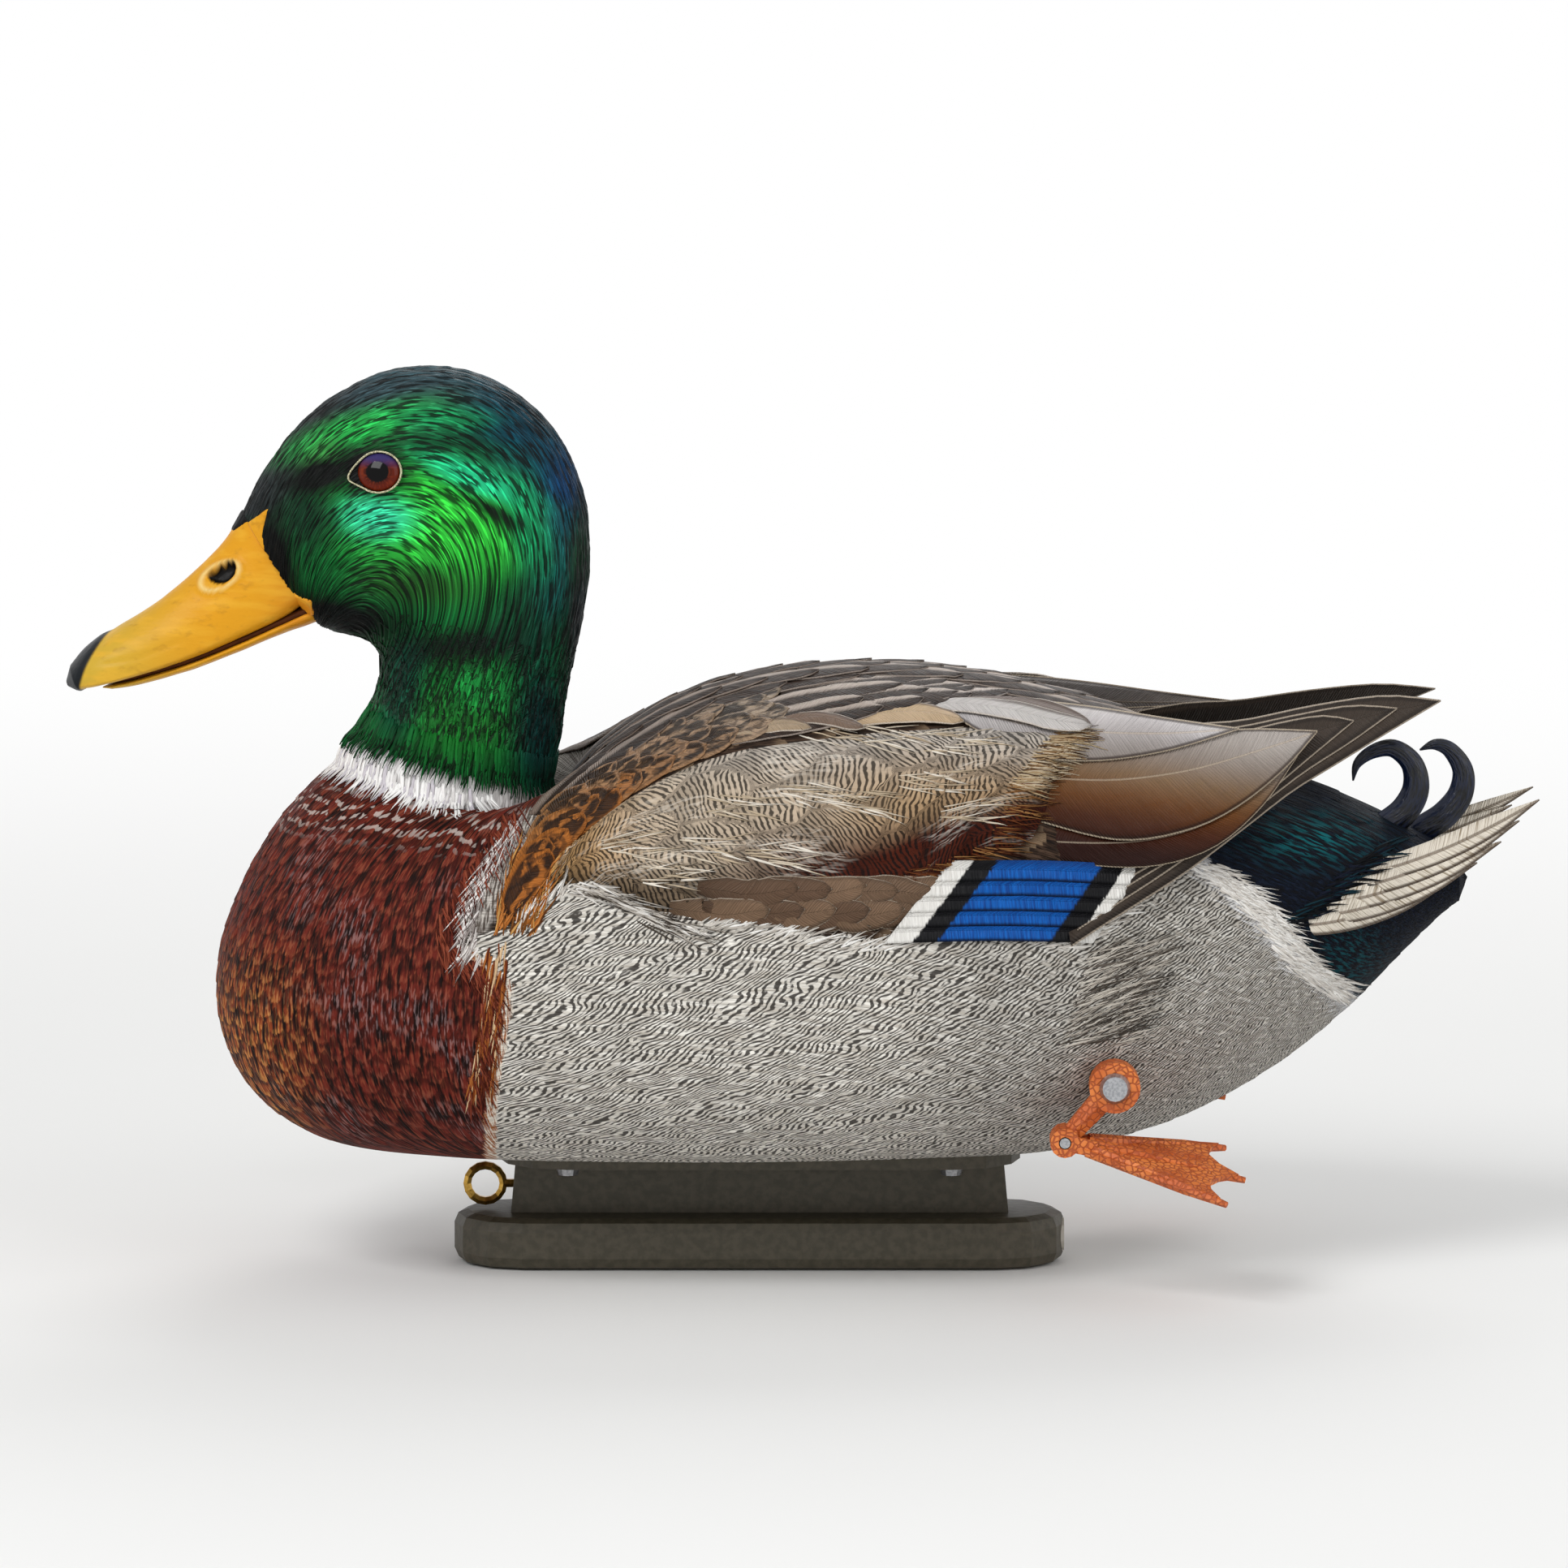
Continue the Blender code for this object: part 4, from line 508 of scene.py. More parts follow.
def panel_paint():
    """Fine wavy lines over warm grey feathers, each lighter towards its tip and with painted shadow over
    its root under the tip before it, and frayed pale.
    """
    p = Paint("scapular_feathers", 0.66, 0.1)
    u, v, tip = p.values("flow")
    own, _, _ = p.values("cell")
    tint = p.tint()
    strand = p.noise((u / 12.0, v / 1.1, 0.0), 2.0)
    fine = p.noise((u / 6.0, v / 0.6, 5.0), 2.0)
    lines = worm_lines(p, u + v * (own * 2.2 - 0.5), v + own * 40.0, 1.7, 1.5, 4.5)
    frayed = p.noise((u / 26.0, v / 7.0, 3.0), 2.0).step(0.5, 0.62) * fine.step(0.46, 0.6)
    colour = p.over(
        # Painted light: each feather lighter towards its tip
        p.shade(tint, 0.62 + strand * 0.4 + tip * 0.3),
        (lines * 0.92, p.shade(tint, 0.06)),
        (frayed * 0.55, p.mix(0.5, tint, "FFF8EC")),
        # Painted shadow: darker over each feather's root, under the tip that overlaps it
        ((tip + (fine - 0.5) * 0.2).step(0.62, 0.48) * 0.26, p.shade(tint, 0.2)),
    )
    return p.done(colour, strand + fine * 0.5, 0.0006)


# A place on a feather: its colour, shares along and across, own number, mm from root, shaft and edge, barb
Feather = namedtuple("Feather", "tint along across own run off edge barb")


def vane_paint(name, recipe, rough=0.5):
    """Paint of feathers with a shaft and barbs. The recipe turns a place on a feather into a colour."""
    p = Paint(name, rough, 0.14)
    along, across, own = p.values("fea")
    length, half, _ = p.values("dim")
    run = along * length
    off = across.abs() * half
    slant = run - off * 0.8
    barb = p.noise((slant * 1.5, off * 0.1, own * 40.0), 2.0)
    edge = (half - off).least((1.0 - along) * length)
    colour = recipe(p, Feather(p.tint(), along, across, own, run, off, edge, barb))
    ridges = (slant * (math.tau / 0.9) + barb * 6.0).sin()
    return p.done(colour, ridges * 0.3 + barb + off.step(0.4, 0.12) * 0.8, 0.0003)


def tertial_recipe(p, f):
    """Broad feathers with a pale shaft and a dark border inside a pale rim."""
    return p.over(
        p.shade(f.tint, 0.8 + f.barb * 0.4),
        (f.across.step(0.1, -0.9) * 0.25, p.shade(f.tint, 0.35)),
        (f.off.step(0.4, 0.15) * 0.4, "CDBBA4"),
        (f.edge.step(1.4, 0.7) * 0.75, "2A1810"),
        (f.edge.step(0.5, 0.2) * 0.75, "C9B8A0"),
    )


def primary_recipe(p, f):
    """Dark flight feathers with a thin pale rim."""
    return p.over(
        p.shade(f.tint, 0.7 + f.barb * 0.6),
        (f.edge.step(2.2, 1.0) * 0.6, "1B1512"),
        (f.edge.step(0.55, 0.25) * 0.8, "BDAE9C"),
    )


def mantle_recipe(p, f):
    """Warm feathers with long dark strokes inside a paler fringe."""
    blot = p.noise((f.run * 0.22, f.across * 0.8, f.own * 30.0), 2.0)
    strokes = p.noise((f.run * 0.1, f.across * 1.6 + blot * 1.5, f.own * 50.0), 2.0).step(0.4, 0.52)
    marks = ((f.run + f.off * 1.3) * (math.tau / 9.5) + blot * 12.0 + f.barb * 2.0).sin().step(0.0, 0.9)
    inside = (f.edge + (f.barb - 0.5) * 1.6).step(0.6, 1.9)
    return p.over(
        p.mix(f.barb.step(0.3, 0.7), p.shade(f.tint, 0.6), p.shade(f.tint, 1.15)),
        (marks * inside * 0.6, "2A180C"),
        (strokes * inside * 0.9, "150C08"),
        (f.edge.step(0.5, 0.1) * 0.35, p.shade(f.tint, 1.3)),
    )


def cape_recipe(p, f):
    """Long feathers of the back, pale along the upper edge and dark below the shaft."""
    return p.over(
        p.mix(f.barb.step(0.3, 0.7), "130C09", "3A2B22"),
        ((f.across + (f.barb - 0.5) * 0.5).step(0.1, -0.5), p.shade(f.tint, 0.9 + f.barb * 0.45)),
        (f.off.step(0.35, 0.1) * 0.5, "1A120E"),
        (f.edge.step(0.7, 0.25) * 0.6, p.shade(f.tint, 1.2)),
    )


def pale_recipe(p, f):
    """Pale upper scapulars with a brown shade under the upper edge."""
    under = f.edge.step(2.4, 0.9) * f.across.step(-0.1, -0.5) * f.along.step(0.2, 0.6)
    return p.over(
        p.shade(f.tint, 0.76 + f.barb * 0.45),
        (under * 0.75, "4A3A30"),
        (f.edge.step(0.5, 0.15) * 0.7, "DCD2C6"),
    )


def neck_recipe(p, f):
    """Small glossy feathers, brightest towards the tip."""
    bright = p.shade(f.tint, 0.2 + f.along * 0.9 + f.barb * 0.5)
    return p.mix(f.edge.step(0.6, 0.1) * 0.85, bright, p.shade(f.tint, 0.06))


def covert_recipe(p, f):
    """Brown feathers, lighter towards a pale rim."""
    return p.over(
        p.shade(f.tint, 0.6 + f.along * 0.35 + f.barb * 0.4),
        (f.edge.step(2.0, 0.8) * 0.35, "4A3E34"),
        (f.edge.step(0.4, 0.1) * 0.6, "C8BBAA"),
    )


def tail_recipe(p, f):
    """White feathers with grey barbs, a brown shaft and a dark lower edge."""
    return p.over(
        p.mix(f.barb.step(0.28, 0.52), "96866F", "E8DFD0"),
        (f.off.step(0.7, 0.2) * 0.7, "6A5746"),
        (f.edge.step(1.3, 0.4) * f.across.step(0.1, -0.4) * 0.9, "4A3A2E"),
    )


def speculum_recipe(p, f):
    """A blue field between black and white bars."""
    white = p.mix(f.barb, "CFCBC4", "FBFAF6")
    blue = p.over(
        p.mix(f.barb.step(0.3, 0.7), "05408C", "0A60B8"),
        (f.across.step(0.0, 0.9) * 0.55, "04306E"),
        (f.across.step(-0.6, -0.95) * 0.9, "020A20"),
    )
    place = f.along + (f.barb - 0.5) * 0.04
    return p.over(
        white,
        (place.step(0.125, 0.14), "07070B"),
        (place.step(0.245, 0.262), blue),
        (place.step(0.78, 0.80), "07070B"),
        (place.step(0.905, 0.918), white),
    )


def hair_paint(name):
    """Loose barbs along a border, in the colour they are given."""
    p = Paint(name, 0.6, 0.1)
    along, across, own = p.values("fea")
    tone = p.noise((along * 3.0, across * 2.0, own * 60.0), 2.0)
    return p.done(p.shade(p.tint(), 0.72 + tone * 0.56), tone, 0.0002)


def grained(name, light, dark, rough, metallic=0.0, scale=0.4, depth=0.0002):
    """Paint of a plain moulded, turned or cast solid."""
    p = Paint(name, rough, metallic=metallic)
    x, y, z = p.place()
    grain = p.noise((x * scale, y * scale, z * scale), 3.0)
    return p.done(p.mix(grain.step(0.35, 0.65), light, dark), grain, depth)


def leg_paint():
    """Orange skin with fine scales."""
    p = Paint("leg_paint", 0.5)
    x, y, z = p.place()
    inputs = {"Vector": p.vector(x, y, z), "Scale": 0.55}
    gap = p.made("ShaderNodeTexVoronoi", inputs, "Distance", feature="DISTANCE_TO_EDGE").step(0.02, 0.16)
    tone = p.noise((x * 0.1, y * 0.1, z * 0.1), 2.0)
    skin = p.mix(tone.step(0.35, 0.65), "C25A1C", "E2803A")
    return p.done(p.mix(gap, "A84A18", skin), gap, 0.0002)


def bill_paint():
    """Yellow-orange horn with the nail, nostrils and their rims."""
    p = Paint("bill_paint", 0.42, 0.16)
    x, y, z = p.place()
    nail, hole, rim = p.values("mark")
    grain = p.noise((x * 0.25, y * 0.5, z * 0.5), 3.0)
    flow = p.noise((x * 0.06 + z * 0.05, y * 0.2, z * 0.3), 2.0)
    colour = p.over(
        p.mix(x.step(-205.0, -165.0), "CBA636", "DC9A1C"),
        (x.step(-158.0, -140.0) * 0.7, "D0801C"),
        (flow.step(0.45, 0.7) * 0.5, "E8B034"),
        (grain.step(0.55, 0.75) * 0.3, "9A6A1E"),
        (rim, "EFD890"),
        (hole, "0A0806"),
        (nail, "14181C"),
    )
    return p.done(colour, grain, 0.0002)


def mouth_paint():
    """The brown skin inside the bill."""
    p = Paint("mouth_lining", 0.7, 0.1)
    x, y, z = p.place()
    grain = p.noise((x * 0.4, y * 0.4, z * 0.4), 2.0)
    return p.done(p.mix(grain, "2E1408", "5A3014"), grain, 0.0002)


def eye_paint():
    """A black pupil in a brown iris, with a painted blue-violet reflection of the sky over its upper part.
    """
    p = Paint("eye_glass", 0.06, 0.14)
    off, turn, rise = p.values("iris")
    rays = p.noise((turn * 9.0, off * 3.0, 0.0), 2.0)
    iris = p.over(
        p.mix(off.step(0.45, 0.8), "200602", "5E1A08"),
        (rays.step(0.45, 0.7) * 0.5, "82300E"),
        # Painted reflection: blue-violet sky over the upper part of the iris
        (rise.step(0.1, 0.75) * 0.9, "2E2F66"),
    )
    return p.done(p.over("020102", (off.step(0.5, 0.58), iris), (off.step(0.94, 1.04), "0A0605")))


def lid_paint():
    """The pale bare rim of the eye."""
    p = Paint("eye_lid", 0.5)
    x, _, z = p.place()
    grain = p.noise((x * 2.0, z * 2.0, 0.0), 2.0)
    return p.done(p.mix(grain.step(0.4, 0.6), "8E8A6C", "D8D2AE"), grain, 0.0003)


def collar_paint():
    """White strands, lilac in the shade at the back of the neck."""
    p = Paint("collar_feathers", 0.7, 0.25)
    u, v, _ = p.values("flow")
    strand = p.noise((u * 0.2, v * 1.6, 0.0), 3.0)
    white = p.mix(strand.step(0.3, 0.7), "C9C5C4", "FBFAF8")
    return p.done(p.mix(v.step(60.0, 95.0) * 0.35, white, "B7B0C4"), strand, 0.0006)


def curl_paint():
    """Glossy black barbs with a blue sheen on the outer edge."""
    p = Paint("curl_feathers", 0.3, 0.4)
    along, across, _ = p.values("fea")
    barb = p.noise((along * 14.0, across * 5.0, 0.0), 2.0)
    black = p.mix(barb.step(0.4, 0.65), "020307", "0E1830")
    return p.done(p.mix(across.step(0.3, 0.8) * 0.5, black, "1C2C50"), barb, 0.0004)


# Meshes


def link(name, data):
    """A new object in the scene."""
    obj = bpy.data.objects.new(name, data)
    bpy.context.scene.collection.objects.link(obj)
    return obj


def add_mesh(name, points, faces, material, body, values, node=None, slot=None):
    """A piece from points in mm, with its painted values, riding on a body."""
    used, again = np.unique(faces, return_inverse=True)
    mesh = bpy.data.meshes.new(name)
    mesh.from_pydata((points.reshape(-1, 3)[used] * MM).tolist(), [], again.reshape(faces.shape).tolist())
    for key, value in values.items():
        size = value.shape[-1]
        kind, field = ("FLOAT_COLOR", "color") if size == 4 else ("FLOAT_VECTOR", "vector")
        layer = mesh.attributes.new(key, kind, "POINT")
        layer.data.foreach_set(field, value.reshape(-1, size)[used].astype(np.float32).ravel())
    mesh.materials.append(material)
    mesh.shade_smooth()
    mesh.validate()
    obj = link(name, mesh)
    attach(obj, body)
    if node:
        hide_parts(node)


def add_pair(name, points, faces, material, body, values, node=None, slot=None):
    """A piece of the left side and its mirror image on the right."""
    for side, sign in SIDES:
        add_mesh(f"{name}_{side}", points * (1, sign, 1), faces[:, ::sign], material, body, values,
                 node and f"{node}_{side}", slot)


class Bundle:
    """Many small vanes gathered into one piece."""

    def __init__(self):
        self.points = []
        self.faces = []
        self.values = {"fea": [], "dim": [], "tint": []}
        self.count = 0

    def add(self, outer, inner, fea, dim, tint):
        """Adds a vane between two grids. Its tint is text, an array, or a function of its points."""
        rows, columns = outer.shape[:2]
        size = rows * columns
        number = np.arange(size).reshape(rows, columns)
        edge = np.concatenate([number[:, 0], number[-1, 1:], number[-2::-1, -1], number[0, -2:0:-1]])
        after = np.roll(edge, -1)
        face, walls = grid_faces(rows, columns), triple(edge, after, after + size, edge + size)
        for block in (face, face[:, ::-1] + size, walls[:, ::-1]):
            self.faces.append(block + self.count)
        self.points += [outer.reshape(-1, 3), inner.reshape(-1, 3)]
        if isinstance(tint, str):
            tint = rgb(tint)
        elif callable(tint):
            tint = tint(outer)
        for key, value in (("fea", fea), ("dim", dim), ("tint", tint)):
            flat = np.broadcast_to(value, (rows, columns, np.shape(value)[-1])).reshape(size, -1)
            self.values[key] += [flat, flat]
        self.count += 2 * size

    def make(self, add, name, material, body, slot, node=None):
        """The finished piece, by add_pair or add_mesh."""
        values = {key: np.vstack(value) for key, value in self.values.items()}
        add(name, np.vstack(self.points), np.vstack(self.faces), material, body, values, node, slot)


class Seat:
    """A closed skin with open sheets on it, where feathers are placed by where they show in the picture."""

    def __init__(self, skin, *sheets):
        points, faces = [], []
        for grid in (skin, *sheets):
            faces += (grid_faces(*grid.shape[:2], grid is skin) + len(points)).tolist()
            points += grid.reshape(-1, 3).tolist()
        self.tree = BVHTree.FromPolygons(points, faces)

    def hit(self, start, way):
        """The first point that a ray meets, or None."""
        found = self.tree.ray_cast(Vector(start), Vector(way))[0]
        return None if found is None else np.array(found)

    def see(self, px, py):
        """The point on the left side that shows at a pixel."""
        x, z = from_pixels(px, py, FAR)
        return self.hit((x, -FAR, z), VIEW_WAY)

    def reach(self, x, z):
        """How far the surface stands out to the left."""
        hit = self.hit((x, -FAR, z), (0.0, 1.0, 0.0))
        return 0.0 if hit is None else -hit[1]

    def over(self, x, y):
        """The point of the surface that lies highest over a place."""
        return self.hit((x, y, OVERHEAD), (0.0, 0.0, -1.0))

    def near(self, point):
        hit, normal, _, _ = self.tree.find_nearest(Vector(point))
        return np.array(hit), np.array(normal)

    def blade(self, spine, half, shape, lift, own, crown=0.3, thick=0.35, columns=6, rows=12):
        """A feather along points that lie on the surface: its outer and inner grid, and places on it."""
        seats = [self.near(p) for p in sampled(spine, rows + 1)]
        foot = np.array([s[0] for s in seats])
        normal = np.array([s[1] for s in seats])
        normal[1:-1] = (normal[:-2] + normal[1:-1] + normal[2:]) / 3
        side = unit(np.cross(np.gradient(foot, axis=0), normal))
        share = np.linspace(0, 1, rows + 1)[:, None]
        t = np.linspace(-1, 1, columns + 1)
        spots = foot[:, None] + (side * (half * shape(share)))[:, None] * t[:, None]
        spots = np.array([[self.near(s)[0] for s in row] for row in spots])
        outer = spots + normal[:, None] * (lift(share) + crown * (1 - t**2))[..., None]
        return outer, outer - normal[:, None] * thick, triple(share, t, own)


def leaf(blunt, root):
    """Half width along a feather: root share, fullest past the middle, and a rounded or pointed tip."""

    def shape(s):
        widening = root + (1 - root) * np.sin(np.clip(s / 0.62, 0, 1) * math.pi / 2)
        tip = np.maximum(1 - np.clip((s - blunt) / (1 - blunt), 0, 1) ** 2, 0.0) ** 0.5
        return np.minimum(widening, tip + 0.02)

    return shape


def hair_shape(s):
    return np.maximum(1.0 - s**2, 0.03) * (0.6 + 0.4 * np.minimum(s * 4, 1))


def rising(root, tip):
    """How high a feather lies over its seat, from root to tip, in mm."""
    return lambda s: root + tip * s


def lay(bundle, seat, spots, half, tint, own, shape, lift, size=None, **more):
    """Lays one feather along points of a surface. Its length and half width are measured unless given."""
    outer, inner, fea = seat.blade(spots, half, shape, lift, own, **more)
    length, wide = size or (arc(outer[:, outer.shape[1] // 2])[-1], half)
    bundle.add(outer, inner, fea, triple(length, wide, 0.0), tint)


def feathered(bundle, seat, pixels, *look, **more):
    """Lays one feather whose shaft shows at these pixels."""
    spots = [seat.see(*p) for p in pixels]
    if all(s is not None for s in spots):
        lay(bundle, seat, spots, *look, **more)


# Loose barbs: their way, length and spread in the picture, half width in mm, colours, seed and lift
Barbs = namedtuple("Barbs", "way length spread half colours seed lift")


def hairs(bundle, seat, roots, barbs):
    """Loose barbs whose roots show at these pixels."""
    colours = barbs.colours.split()

    def bowed(s):
        return 0.05 + barbs.lift * s * (1 - 0.45 * s)

    for n, (px, py) in enumerate(roots):
        own, other = hashed(n, barbs.seed, 3), hashed(n, barbs.seed, 4)
        way = barbs.way(px) if callable(barbs.way) else barbs.way
        dx, dy = turned(*way, (0.5 - own) * barbs.spread)
        long = barbs.length * (0.6 + 0.8 * other)
        spots = [(px + dx * long * q, py + dy * long * q) for q in (0.0, 0.5, 1.0)]
        tint = colours[int(own * 997) % len(colours)]
        feathered(bundle, seat, spots, barbs.half * (0.7 + 0.6 * own), tint, own, hair_shape, bowed,
                  rows=5, columns=2, thick=0.2, crown=0.1)


def make_fringe(seat, name, slot, rows):
    """Loose barbs along a border, with roots that wander about lines traced in the picture."""
    fringe = Bundle()
    for line, count, shift, sway, rate, barbs in rows:
        roots = []
        for i, spot in enumerate(sampled(line, count)):
            roots.append([at + s + w * math.sin(i * r) for at, s, w, r in zip(spot, shift, sway, rate)])
        hairs(fringe, seat, roots, barbs)
    fringe.make(add_pair, f"{name}_fringe", hair_paint(f"{name}_barbs"), "body", slot)


# Body surface, with its borders in the picture: rows and columns, or columns and rows for the flank's
BREAST_EDGE = [
    (900, 700), (985, 672), (998, 654), (1043, 622), (1087, 592), (1126, 572), (1164, 574), (1188, 604),
    (1206, 626), (1270, 620), (1313, 611), (1345, 606), (1450, 600),
]
FLANK_EDGE = [
    (560, 1160), (641, 1135), (667, 1109), (706, 1084), (735, 1080), (772, 1098), (811, 1121),
    (859, 1130), (902, 1128), (946, 1135), (1000, 1145), (1060, 1154), (1120, 1146), (1180, 1136),
    (1250, 1141), (1310, 1150), (1350, 1130), (1400, 1085), (1460, 1045), (1600, 990),
]
RUMP_EDGE = [
    (820, 1400), (900, 1420), (1000, 1455), (1065, 1485), (1100, 1537), (1140, 1574), (1190, 1614),
    (1225, 1668), (1260, 1690), (1330, 1745), (1420, 1770),
]
LOBE_FOLD = [(1090, 742), (1130, 772), (1200, 790), (1280, 784), (1340, 770)]
BODY_SKINS = (
    ("breast", "breast_shell"), ("flank", "hull_shell"), ("back", "back_shell"), ("rump", "rump_shell"),
)


def neck_ring(height, radius, angles):
    """A ring about the neck's axis, at a height over the middle of the collar."""
    axis = np.array((math.sin(NECK_TILT), 0.0, math.cos(NECK_TILT)))
    back = np.array((math.cos(NECK_TILT), 0.0, -math.sin(NECK_TILT)))
    side = np.array((0.0, 1.0, 0.0))
    away = back * np.cos(angles)[..., None] + side * np.sin(angles)[..., None]
    return np.array(NECK) + axis * np.asarray(height)[..., None] + away * np.asarray(radius)[..., None]


def body_grid():
    """The whole body skin as a grid of points in mm, from the neck seat to the stern."""
    angles = circle(BODY_SIDES)
    angles = angles - 0.08 * np.sin(2 * angles)
    points = rings(curve(BODY, BODY_STRETCH), angles)
    points[..., 2] = np.maximum(points[..., 2], FLOOR)
    seat = neck_ring(-4.8, 31.5, angles)
    start = [seat + (points[0] - seat) * t for t in (0.0, 0.35, 0.7)]
    end = [np.array(STERN) + (points[-1] - STERN) * t for t in (0.75, 0.4, 0.02)]
    return np.concatenate([start, points, end])


def zones(points):
    """Distances in mm into the breast, the flank and the rump."""
    across, down = to_pixels(points)
    breast = (np.interp(down, *zip(*BREAST_EDGE)) - across) * SCALE
    flank = (down - np.interp(across, *zip(*FLANK_EDGE))) * RISE
    rump = (across - np.interp(down, *zip(*RUMP_EDGE))) * SCALE
    return breast, flank, rump


def flank_swell(px, py, flank):
    """How far the flank's front lobe, with its fold, and its upper edge stand out."""
    fold = (px - np.interp(py, *zip(*LOBE_FOLD))) * SCALE
    front = step(py, 1085, 1125) * step(py, 1370, 1310)
    lobe = front * (1.6 * hill(fold + 15, 9) - 1.3 * hill(fold, 4.5))
    return lobe + 1.5 * hill(flank - 5, 5) * step(px, 650, 720) * step(px, 1500, 1380)


def make_body():
    """The four feathered skins of the body, each with its raised tips and strands."""
    skin = body_grid()
    along, across = arc(skin), around(skin)
    breast, flank, rump = zones(skin)
    in_breast, in_flank = step(breast, -1.5, 1.5), step(flank, -1.5, 1.5)
    fall = -skin[..., 2] * 1.1
    girth = np.arctan2(skin[..., 1], -62.0 - skin[..., 0]) * 72.0
    row_tip, row_side, _ = scales(along, across, 13.0, 15.0, 5)
    chest_tip, chest_side, _ = scales(fall + 3.0 * noise(fall / 9.0, girth / 9.0, 19), girth, 5.2, 6.5, 15)
    strand = strands(along, across, (0.09, 0.9), (0.2, 1.8), 2) * (1 - in_breast)
    strand = strand + strands(fall, girth, (0.12, 0.85), (0.25, 1.6), 12, 0.6) * 1.3 * in_breast
    tips = in_breast * (chest_tip * 0.5 - 0.15 * chest_side**2)
    tips = tips + (1 - in_breast) * (row_tip * 0.5 - 0.12 * row_side**2)
    px, py = to_pixels(skin)
    lift = (tips - 0.25) * 0.8 + strand * 0.35 * (1 - 0.4 * in_flank) + flank_swell(px, py, flank)
    calm = step(along, 0, 6) * step(skin[..., 2], 36, 42)
    points = skin + outward(skin, True) * (lift * calm)[..., None]
    low = step(py, 1120, 1280) * step(px, 430, 320) * in_breast + step(px, 1060, 1250) * (1 - in_breast)
    # Where the rump's sheen is painted: two soft spots of painted highlight
    glow = hill(px - 1612, 62) * hill(py - 1032, 26) + 0.4 * hill(px - 1655, 40) * hill(py - 1180, 40)
    collar_near = np.clip(1.2 - np.abs(py - (1000 + (px - 425) * 0.13)) / 34, 0, 1) * (px < 700)
    values = {
        "flow": triple(along, across, np.clip(np.where(in_breast > 0.5, chest_tip, row_tip), 0, 1)),
        "fall": triple(fall, girth, glow),
        "zone": triple(breast, flank, rump),
        "cell": triple(low, collar_near, 0.0),
    }
    faces = skin_faces(skin)
    deep = [d.reshape(-1)[faces].mean(axis=1) > 0 for d in (breast, flank, rump)]
    kind = np.where(deep[0], 0, np.where(deep[2], 3, np.where(deep[1], 1, 2)))
    for index, (name, node) in enumerate(BODY_SKINS):
        own_faces = faces[kind == index]
        add_mesh(f"{name}_skin", points, own_faces, plumage(f"{name}_feathers"), "body", values, node, name)
    return points


# Wing, mantle and tail

# How a folded feather leaves the body: where it starts, out, height, lean, sweep, gap and blend
Fold = namedtuple("Fold", "start out height lean sweep gap blend")
WING_FOLD = Fold(40.0, 63.0, 124.0, 0.98, 0.07, 1.0, 3.0)
TAIL_FOLD = Fold(20.0, 22.0, 117.5, 0.6, 0.0, 0.8, 2.0)
FOLD_MIDDLE = 80.0
FOLD_TRIES = 6
VANE_THICK = 0.5


def panel_tint(points):
    """Grey-cream above, tan in front and through the middle, rust along the lower rear edge, and painted
    shade in dark brown along the lower front edge.
    """
    px, py = to_pixels(points)
    low = py - (1088 - np.clip(px - 1100, 0, 200) * 0.22)
    warm = step(low, -90, -16) * step(px, 850, 1010) + 0.6 * step(low, -110, -40) * step(px, 1020, 1180)
    base = blend(np.array(rgb("BBAA95")), "B8AFA5", step(py, 990, 900))
    base = blend(base, "A8875F", 0.8 * step(px, 930, 1150) * step(py, 900, 1000))
    base = blend(base, "B0854E", 0.85 * step(px, 830, 700))
    # Painted shade: dark brown along the lower front edge of the panel
    base = blend(base, "5C4C3A", 0.9 * step(low, -40, 5) * step(px, 1000, 880))
    return blend(base, "421709", np.clip(warm, 0, 1))


def make_panel(seat):
    """The folded wing's shoulder and scapular form, raised over the body."""
    upper, lower = sampled(PANEL_UPPER, PANEL_ROWS), sampled(PANEL_LOWER, PANEL_ROWS)
    s = np.linspace(0, 1, PANEL_ROWS)[:, None]
    t = np.linspace(-0.03, 1.03, PANEL_COLUMNS)[None, :]
    flat = lower[:, None] + (upper - lower)[:, None] * t[..., None]
    reach = np.array([[seat.reach(x, z) for x, z in row] for row in flat])
    grid = triple(flat[..., 0], -reach, flat[..., 1])
    normal = outward(grid, False)
    normal = normal * -np.sign(normal[PANEL_ROWS // 2, PANEL_COLUMNS // 2, 1])
    u, v = s * arc(upper)[-1], t * 44.0
    sway = 6.0 * noise(u / 30.0, v / 14.0, 17)
    tip, side, own = scales(u - 6 * t + sway, v + sway * 0.5, 19.0, 11.5, 11)
    strand = strands(u, v, (0.09, 0.8), (0.2, 1.8), 6)
    dome = np.minimum(step(t, -0.03, 0.22), step(t, 1.03, 0.84))
    dome = dome * np.minimum(step(s, -0.01, 0.14), step(s, 1.04, 0.92)) * step(zones(grid)[1], 2.0, -3.0)
    raised = -0.9 + dome * (4.6 + (tip * 1.2 - 0.5 * side**2) + strand * 0.55)
    points = grid + normal * raised[..., None]
    values = {"flow": triple(u, v, tip), "tint": panel_tint(points), "cell": triple(own, 0.0, 0.0)}
    faces = grid_faces(PANEL_ROWS, PANEL_COLUMNS)
    add_pair("scapulars", points, faces, panel_paint(), "body", values, "wing_panel", "wing")
    return points


def folded(seat, fold):
    """Finds points of a folded feather from pixels: on the body, or on the plane that it folds to."""

    def place(px, py, under):
        out = fold.start
        for _ in range(FOLD_TRIES):
            x, z = from_pixels(px, py, out)
            plane = fold.out - fold.lean * (z - fold.height) - fold.sweep * (x - FOLD_MIDDLE) - under
            body = seat.reach(x, z) + fold.gap
            out = 0.5 * (plane + body + math.hypot(plane - body, fold.blend))
        return np.array((x, -out, z))

    return place


